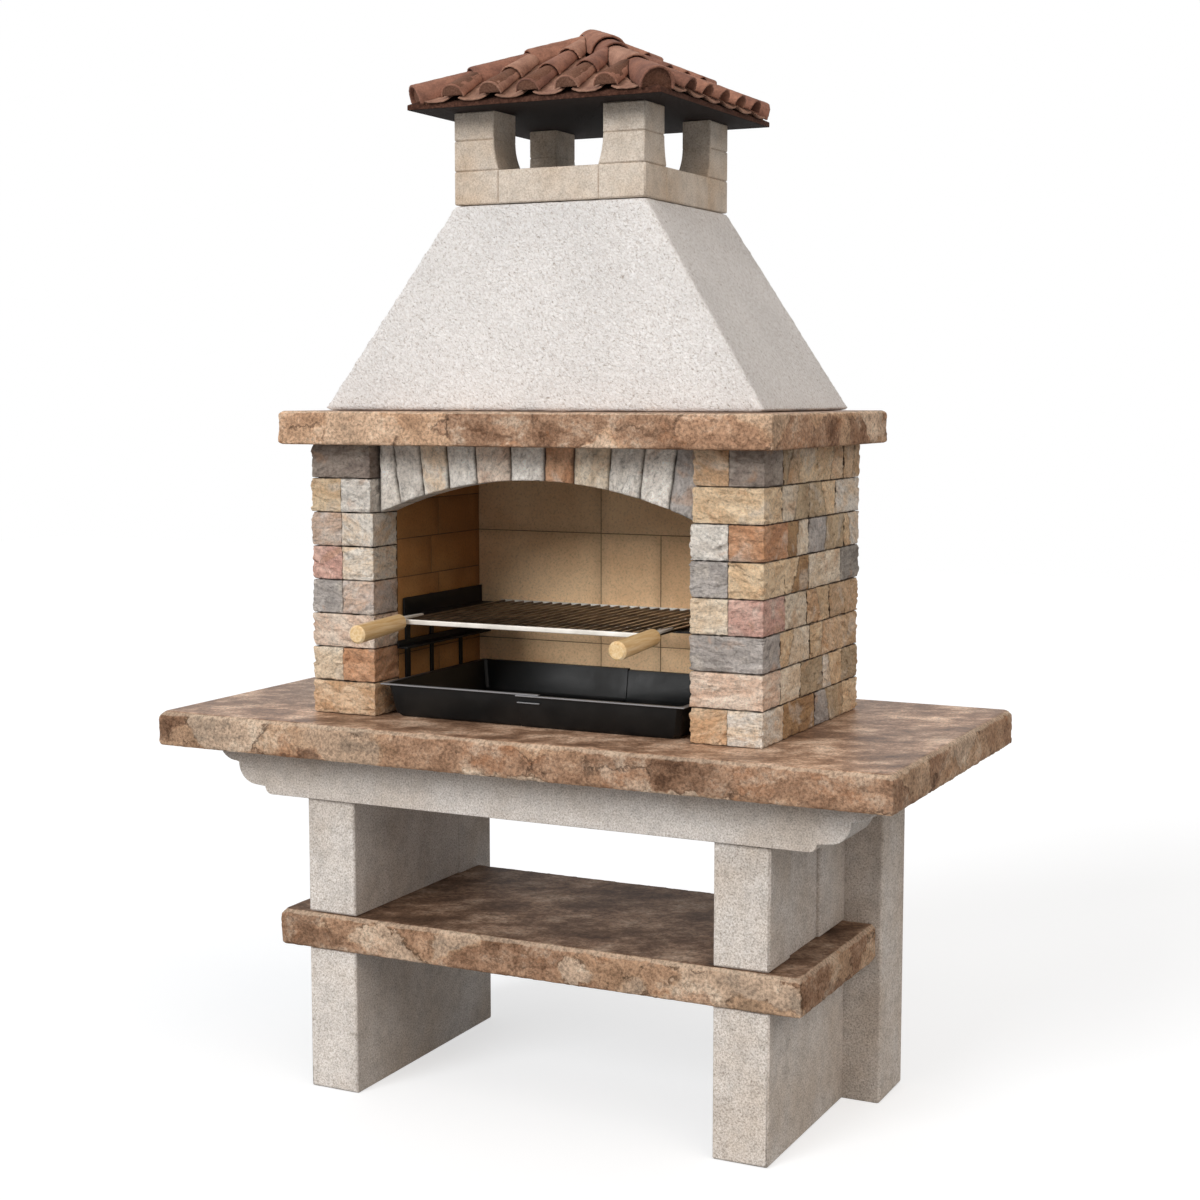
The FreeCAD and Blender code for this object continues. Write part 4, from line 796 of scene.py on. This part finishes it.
round_rods("grill_rods", "grill_bars", 1)
round_rods("grill_ties", "grill_cross_rods", 0)
eased_copy("grill_front_bar", bright_steel, "bright_steel", "grill", BAR_ROUND)
eased_copy("grill_rear_bar", bright_steel, "bright_steel", "grill", BAR_ROUND)
for side in ("left", "right"):
    eased_copy(side + "_handle_tang", bright_steel, "bright_steel", "grill", TANG_ROUND)


# Grips: two turned beech handles, sanded and varnished, pushed onto the tangs of the grill.
# Each is a plain dowel with rounded ends, and the grain runs along it.

GRIP_ROUND = 1.2 * MM

# Varnished beech: pale honey wood with long grain, drawn coarser than it is, under a clear gloss.
varnished_beech, tree, surface, where = new_material("varnished_beech", 0.35)
grain_run = add(tree, "Mapping", {"Vector": where, "Scale": (1.0, 0.07, 1.0)})
grain = add(tree, "TexNoise", {"Vector": grain_run, "Scale": per(4.5), "Detail": 5.0, "Distortion": 0.5})
tone = add(tree, "ValToRGB", {"Fac": grain},
           stops=((0.30, "#d3ab72"), (0.48, "#e2c08c"), (0.70, "#ecd1a4")))
tree.links.new(tone, surface["Base Color"])
surface["Coat Weight"].default_value = 0.4
surface["Coat Roughness"].default_value = 0.2
relief = add(tree, "Bump", {"Height": grain, "Strength": 0.15, "Distance": 0.3 * MM})
tree.links.new(relief, surface["Normal"])

for side in ("left", "right"):
    eased_copy(side + "_handle_grip", varnished_beech, "grip_wood", "grill", GRIP_ROUND)


# Mantel: a third cast-stone slab, laid on the firebox walls and the arch to carry the hood.
# It has the smoke hole in its middle, and its edges are split as those of the worktop.

# Pale cast stone: the same mix, cast a little paler.
pale_stone = cast_stone("pale_cast_stone", gloss=0.2, roughness=0.45, lift=1.24, top_lift_and_shade=1.0)
split_slab("mantel", pale_stone, SLAB_VOXEL)


# Hood: one hollow cast shell with sloping sides, rendered outside with white roughcast.
# The render is thrown on and stroked with a float, which leaves small crescents and pits.

HOOD_VOXEL = 7.0 * MM
HOOD_WAVE = 1.6 * MM
HOOD_WAVE_SIZE = 26.0 * MM


def uneven(bm, depth, size):
    """Softens the edges of a remeshed solid, and lets its skin sink in low waves of a size."""
    bmesh.ops.smooth_vert(bm, verts=bm.verts, factor=0.5, use_axis_x=True, use_axis_y=True, use_axis_z=True)
    bm.normal_update()
    for vert in bm.verts:
        vert.co -= vert.normal * depth * (0.5 + 0.5 * noise.fractal(vert.co / size, 0.9, 2.1, 3))
    return bm


# Roughcast: white lime and sand, matt, with pale strokes of the float, small grey pits and faint clouds.
roughcast, tree, surface, where = new_material("white_roughcast", 0.95)
float_run = add(tree, "Mapping", {"Vector": where, "Rotation": (0.0, 0.7, 0.0), "Scale": (1.6, 1.0, 1.0)},
                vector_type="TEXTURE")
strokes = add(tree, "TexNoise", {"Vector": float_run, "Scale": per(3.6), "Detail": 3.0, "Roughness": 0.6,
                                 "Distortion": 0.8})
tone = add(tree, "ValToRGB", {"Fac": strokes},
           stops=((0.29, "#afa49b"), (0.39, "#dfd9d5"), (0.48, "#ece8e5"), (0.57, "#f6f3f1"),
                  (0.68, "#fdfbfa")))
clouds = add(tree, "TexNoise", {"Vector": where, "Scale": per(160), "Detail": 4.0})
clouds = add(tree, "ValToRGB", {"Fac": clouds}, stops=((0.35, 0.93), (0.62, 1.0)))
tone = add(tree, "Mix", {"Factor": 1.0, "A_Color": tone, "B_Color": clouds},
           data_type="RGBA", blend_type="MULTIPLY")
tree.links.new(tone, surface["Base Color"])
relief = add(tree, "Bump", {"Height": strokes, "Strength": 1.0, "Distance": 4.5 * MM})
tree.links.new(relief, surface["Normal"])

hood = uneven(remeshed(solids("hood")[0], HOOD_VOXEL), HOOD_WAVE, HOOD_WAVE_SIZE)
place("hood_render", hood, roughcast, "roughcast", ["hood"], crease=80)


# Crown: a ring of cast blocks on the hood and two rows of posts, which leave four smoke openings.
# The blocks are cast stone of a warm beige with pitted faces, bedded on thin mortar.

CROWN_ARRIS = 1.2 * MM
CROWN_ROWS = ("corner_blocks", "middle_blocks", "lower_posts", "upper_posts")

crown_stone = blasted_concrete("pitted_cast_stone", "#bfb0a0", "#dfd1c1", "#ece2d6", "#efe1d1", 3.4, 110.0)
for row in CROWN_ROWS:
    eased_copy("crown_" + row, crown_stone, "crown_stone", "masonry", CROWN_ARRIS)


# Roof slab: a square of concrete dyed brown red in the mix, laid on the crown posts, with a low
# hipped bed for the tiles. Its downward faces are drawn near black, a painted shade for the shade under the
# roof.

SLAB_UNDERSIDE_SHADE = "#140e0b"

dyed_concrete = blasted_concrete("dyed_concrete", "#3b261d", "#51352a", "#68493c", "#d9c0b0", 6.0, 120.0)
tree = dyed_concrete.node_tree
surface = tree.nodes["Principled BSDF"].inputs
# Painted shade: faces that turn downwards are mixed towards near black, for the shade beneath the slab.
facing = add(tree, "NewGeometry", {}, out="Normal")
facing = add(tree, "SeparateXYZ", {"Vector": facing}, out="Z")
underside_shade = add(tree, "MapRange", {"Value": facing, "From Min": -0.3, "From Max": -0.9, "To Max": 0.9})
tone = surface["Base Color"].links[0].from_socket
tone = add(tree, "Mix", {"Factor": underside_shade, "A_Color": tone, "B_Color": linear(SLAB_UNDERSIDE_SHADE)}, data_type="RGBA")
tree.links.new(tone, surface["Base Color"])
eased_copy("roof_slab", dyed_concrete, "roof_clay", "masonry", CROWN_ARRIS)


# Roof: baked clay barrel tiles on the slab's four slopes, pans below and covers above, and hip tiles.
# The tiles lap each other from the eaves up, and one round tile closes the top.

TILE_VOXEL = 2.6 * MM
TILE_WOBBLE = 0.9 * MM
TILE_WOBBLE_SIZE = 18.0 * MM
TILE_SIDES = ("front", "right", "back", "left")
HIP_SIDES = ("front_right", "back_right", "back_left", "front_left")

# Baked clay, weathered: a muted brown red that varies from tile to tile, with pale bloom, dark smoke
# marks and a sandy, slightly pitted skin.
baked_clay, tree, surface, where = new_material("weathered_baked_clay", 0.88)
marks = add(tree, "TexNoise", {"Vector": where, "Scale": per(34), "Detail": 6.0, "Roughness": 0.65})
marks = add(tree, "ValToRGB", {"Fac": marks}, stops=((0.38, 0.0), (0.62, 1.0)))
first = add(tree, "Attribute", {}, out="Color", attribute_name="tint")
other = add(tree, "Attribute", {}, out="Color", attribute_name="second")
tone = add(tree, "Mix", {"Factor": marks, "A_Color": first, "B_Color": other}, data_type="RGBA")
skin = add(tree, "TexNoise", {"Vector": where, "Scale": per(3.5), "Detail": 4.0, "Roughness": 0.7})
speckle = add(tree, "ValToRGB", {"Fac": skin}, stops=((0.33, 0.72), (0.55, 1.0), (0.75, 1.12)))
tone = add(tree, "Mix", {"Factor": 1.0, "A_Color": tone, "B_Color": speckle},
           data_type="RGBA", blend_type="MULTIPLY")
tree.links.new(tone, surface["Base Color"])
relief = add(tree, "Bump", {"Height": skin, "Strength": 0.5, "Distance": 1.2 * MM})
tree.links.new(relief, surface["Normal"])

CLAY_TINTS = (("#9d6e5a", "#795243"), ("#a97862", "#845a48"), ("#926451", "#704a3d"),
              ("#b08570", "#8c6351"))
PAN_TINTS = (("#ae8772", "#886252"), ("#a37c67", "#815e4d"))


def clay_tiles(name, tint_pairs=CLAY_TINTS):
    """The tiles of a CAD node with soft rounded lips and an uneven hand-pressed surface."""
    chance = random.Random(name)
    tiles = []
    for bm in solids(name):
        voxel = TILE_VOXEL
        uneven(remeshed(bm, voxel), TILE_WOBBLE, TILE_WOBBLE_SIZE)
        tints = chance.choice(tint_pairs)
        for layer in ("tint", "second"):
            bm.verts.layers.float_color.new(layer)
        tint, second = (bm.verts.layers.float_color[layer] for layer in ("tint", "second"))
        for vert in bm.verts:
            vert[tint], vert[second] = (linear(code) for code in tints)
        tiles.append(bm)
    place(name + "_baked", gathered(tiles), baked_clay, "roof_clay", [name], crease=75)


for side in TILE_SIDES:
    clay_tiles(side + "_cover_tiles")
    clay_tiles(side + "_pan_tiles", PAN_TINTS)
for side in HIP_SIDES:
    clay_tiles(side + "_hip_tiles")
clay_tiles("apex_tile")


# Eave mortar: a clay-coloured lime mortar, pressed into the mouths of the lowest tiles and smoothed.
# It holds the tiles on the slab and keeps birds and rain out. The cover tiles at the right have none.

BED_SHRINK = 0.93
BED_ROUND = 5.0 * MM
COVER_RECESS = 1.5 * MM
HIP_RECESS = 9.0 * MM
EAVE_NEAR = 4.0 * MM
CLOSED_EAVES = ("front", "back", "left")
EAVES = {"front": (0, -1, 0), "right": (1, 0, 0), "back": (0, 1, 0), "left": (-1, 0, 0)}

lime_mortar = blasted_concrete("brown_lime_mortar", "#5f4235", "#775545", "#8a6756", "#e6d5ca", 3.5, 60.0)


def mouth_bed(bm, outward, recess):
    """Makes a tile the bed of mortar that fills it, with a rounded face at its mouth."""
    hull = bmesh.ops.convex_hull(bm, input=bm.verts, use_existing_faces=False)
    bmesh.ops.delete(bm, geom=hull["geom_interior"] + hull["geom_unused"], context="VERTS")
    bmesh.ops.dissolve_limit(bm, angle_limit=math.radians(2), verts=bm.verts, edges=bm.edges)
    middle = sum((vert.co for vert in bm.verts), Vector()) / len(bm.verts)
    reach = max((vert.co - middle).dot(outward) for vert in bm.verts)
    shrink = Matrix.Translation(middle) @ Matrix.Scale(BED_SHRINK, 4) @ Matrix.Translation(-middle)
    bmesh.ops.transform(bm, matrix=shrink, verts=bm.verts)
    bmesh.ops.translate(bm, vec=outward * (reach * (1 - BED_SHRINK) - recess), verts=bm.verts)
    bmesh.ops.recalc_face_normals(bm, faces=bm.faces)
    mouth = max(bm.faces, key=lambda face: face.normal.dot(outward) * face.calc_area())
    bmesh.ops.bevel(bm, geom=mouth.edges[:], offset=BED_ROUND, segments=3, profile=0.5, affect="EDGES",
                    material=-1)
    return bm


def eave_mortar(name, tiles, outward, recess):
    """Beds of mortar in the mouths of the lowest tiles of a CAD node."""
    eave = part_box(tiles)[0].z
    lowest = [bm for bm in solids(tiles) if ends(bm)[0].z - eave < EAVE_NEAR]
    beds = [mouth_bed(bm, outward, recess) for bm in lowest]
    place(name, gathered(beds), lime_mortar, "roof_clay", [])


for side in CLOSED_EAVES:
    eave_mortar(side + "_eave_mortar", side + "_cover_tiles", Vector(EAVES[side]), COVER_RECESS)
for corner in HIP_SIDES:
    along, sideways = (Vector(EAVES[side]) for side in corner.split("_"))
    eave_mortar(corner + "_hip_mortar", corner + "_hip_tiles", (along + sideways).normalized(), HIP_RECESS)


# Studio: a pale floor that runs out to white, a soft sky, a broad lamp from the front left and a weaker
# warm fill from the right. The camera stands where the photograph was taken, to the right of the front.

FLOOR_SIZE = 12.0
FLOOR_GLOW = 0.6
FLOOR_SEEN = "#bcbfc2"
FLOOR_LIT = "#a6a8aa"
LAMP_STRENGTH = 1.98
LAMP_ANGLE = 26.0
LAMP_TURN = (math.radians(64), 0.0, math.radians(-18))
FILL_STRENGTH = 0.9
FILL_ANGLE = 50.0
FILL_TURN = (math.radians(45), 0.0, math.radians(60))
FILL_TONE = "#ffeedd"
SKY_STRENGTH = 0.42
SENSOR_WIDTH = 36.0
LENS = 59.38
CAMERA_PLACE = (1.8328, -3.6422, 1.4666)
CAMERA_TURN = (math.radians(83.999), 0.0, math.radians(26.221))


def background_rays(tree):
    """1 for rays that show the studio to the eye, straight or by a mirror or glass, and 0 for others."""
    seen = 0.0
    for kind in ("Is Camera Ray", "Is Glossy Ray", "Is Transmission Ray"):
        ray = add(tree, "LightPath", {}, out=kind)
        seen = add(tree, "Math", {0: seen, 1: ray}, operation="MAXIMUM")
    return seen


floor_bm = bmesh.new()
bmesh.ops.create_grid(floor_bm, x_segments=1, y_segments=1, size=FLOOR_SIZE)
floor_mesh = bpy.data.meshes.new("floor")
floor_bm.to_mesh(floor_mesh)
floor_bm.free()
floor = bpy.data.objects.new("floor", floor_mesh)
scene.collection.objects.link(floor)
# Studio floor: matt grey paper, which the eye sees lit from within, so that it runs out to white.
paper, tree, surface = new_material("pale_studio_floor", 0.9)[:3]
surface["Specular IOR Level"].default_value = 0.1
seen = background_rays(tree)
grey = add(tree, "Mix", {"Factor": seen, "A_Color": linear(FLOOR_LIT), "B_Color": linear(FLOOR_SEEN)},
           data_type="RGBA")
tree.links.new(grey, surface["Base Color"])
glow = add(tree, "Math", {0: seen, 1: FLOOR_GLOW}, operation="MULTIPLY")
surface["Emission Color"].default_value = (1.0, 1.0, 1.0, 1.0)
tree.links.new(glow, surface["Emission Strength"])
floor_mesh.materials.append(paper)

sky = bpy.data.worlds.new("studio_sky")
sky.use_nodes = True
tree = sky.node_tree
seen = background_rays(tree)
strength = add(tree, "MapRange", {"Value": seen, "To Min": SKY_STRENGTH, "To Max": 1.0})
tree.nodes["Background"].inputs["Color"].default_value = (1.0, 1.0, 1.0, 1.0)
tree.links.new(strength, tree.nodes["Background"].inputs["Strength"])
scene.world = sky

for name, tone, strength, angle, turn in (("soft_lamp", "#ffffff", LAMP_STRENGTH, LAMP_ANGLE, LAMP_TURN),
                                          ("side_fill", FILL_TONE, FILL_STRENGTH, FILL_ANGLE, FILL_TURN)):
    lamp_data = bpy.data.lights.new(name, "SUN")
    lamp_data.color = linear(tone)[:3]
    lamp_data.energy = strength
    lamp_data.angle = math.radians(angle)
    lamp = bpy.data.objects.new(name, lamp_data)
    lamp.rotation_euler = turn
    scene.collection.objects.link(lamp)

camera_data = bpy.data.cameras.new("camera")
camera_data.sensor_width = SENSOR_WIDTH
camera_data.lens = LENS
camera = bpy.data.objects.new("camera", camera_data)
camera.location = CAMERA_PLACE
camera.rotation_euler = CAMERA_TURN
scene.collection.objects.link(camera)
scene.camera = camera
scene.view_settings.view_transform = "Standard"
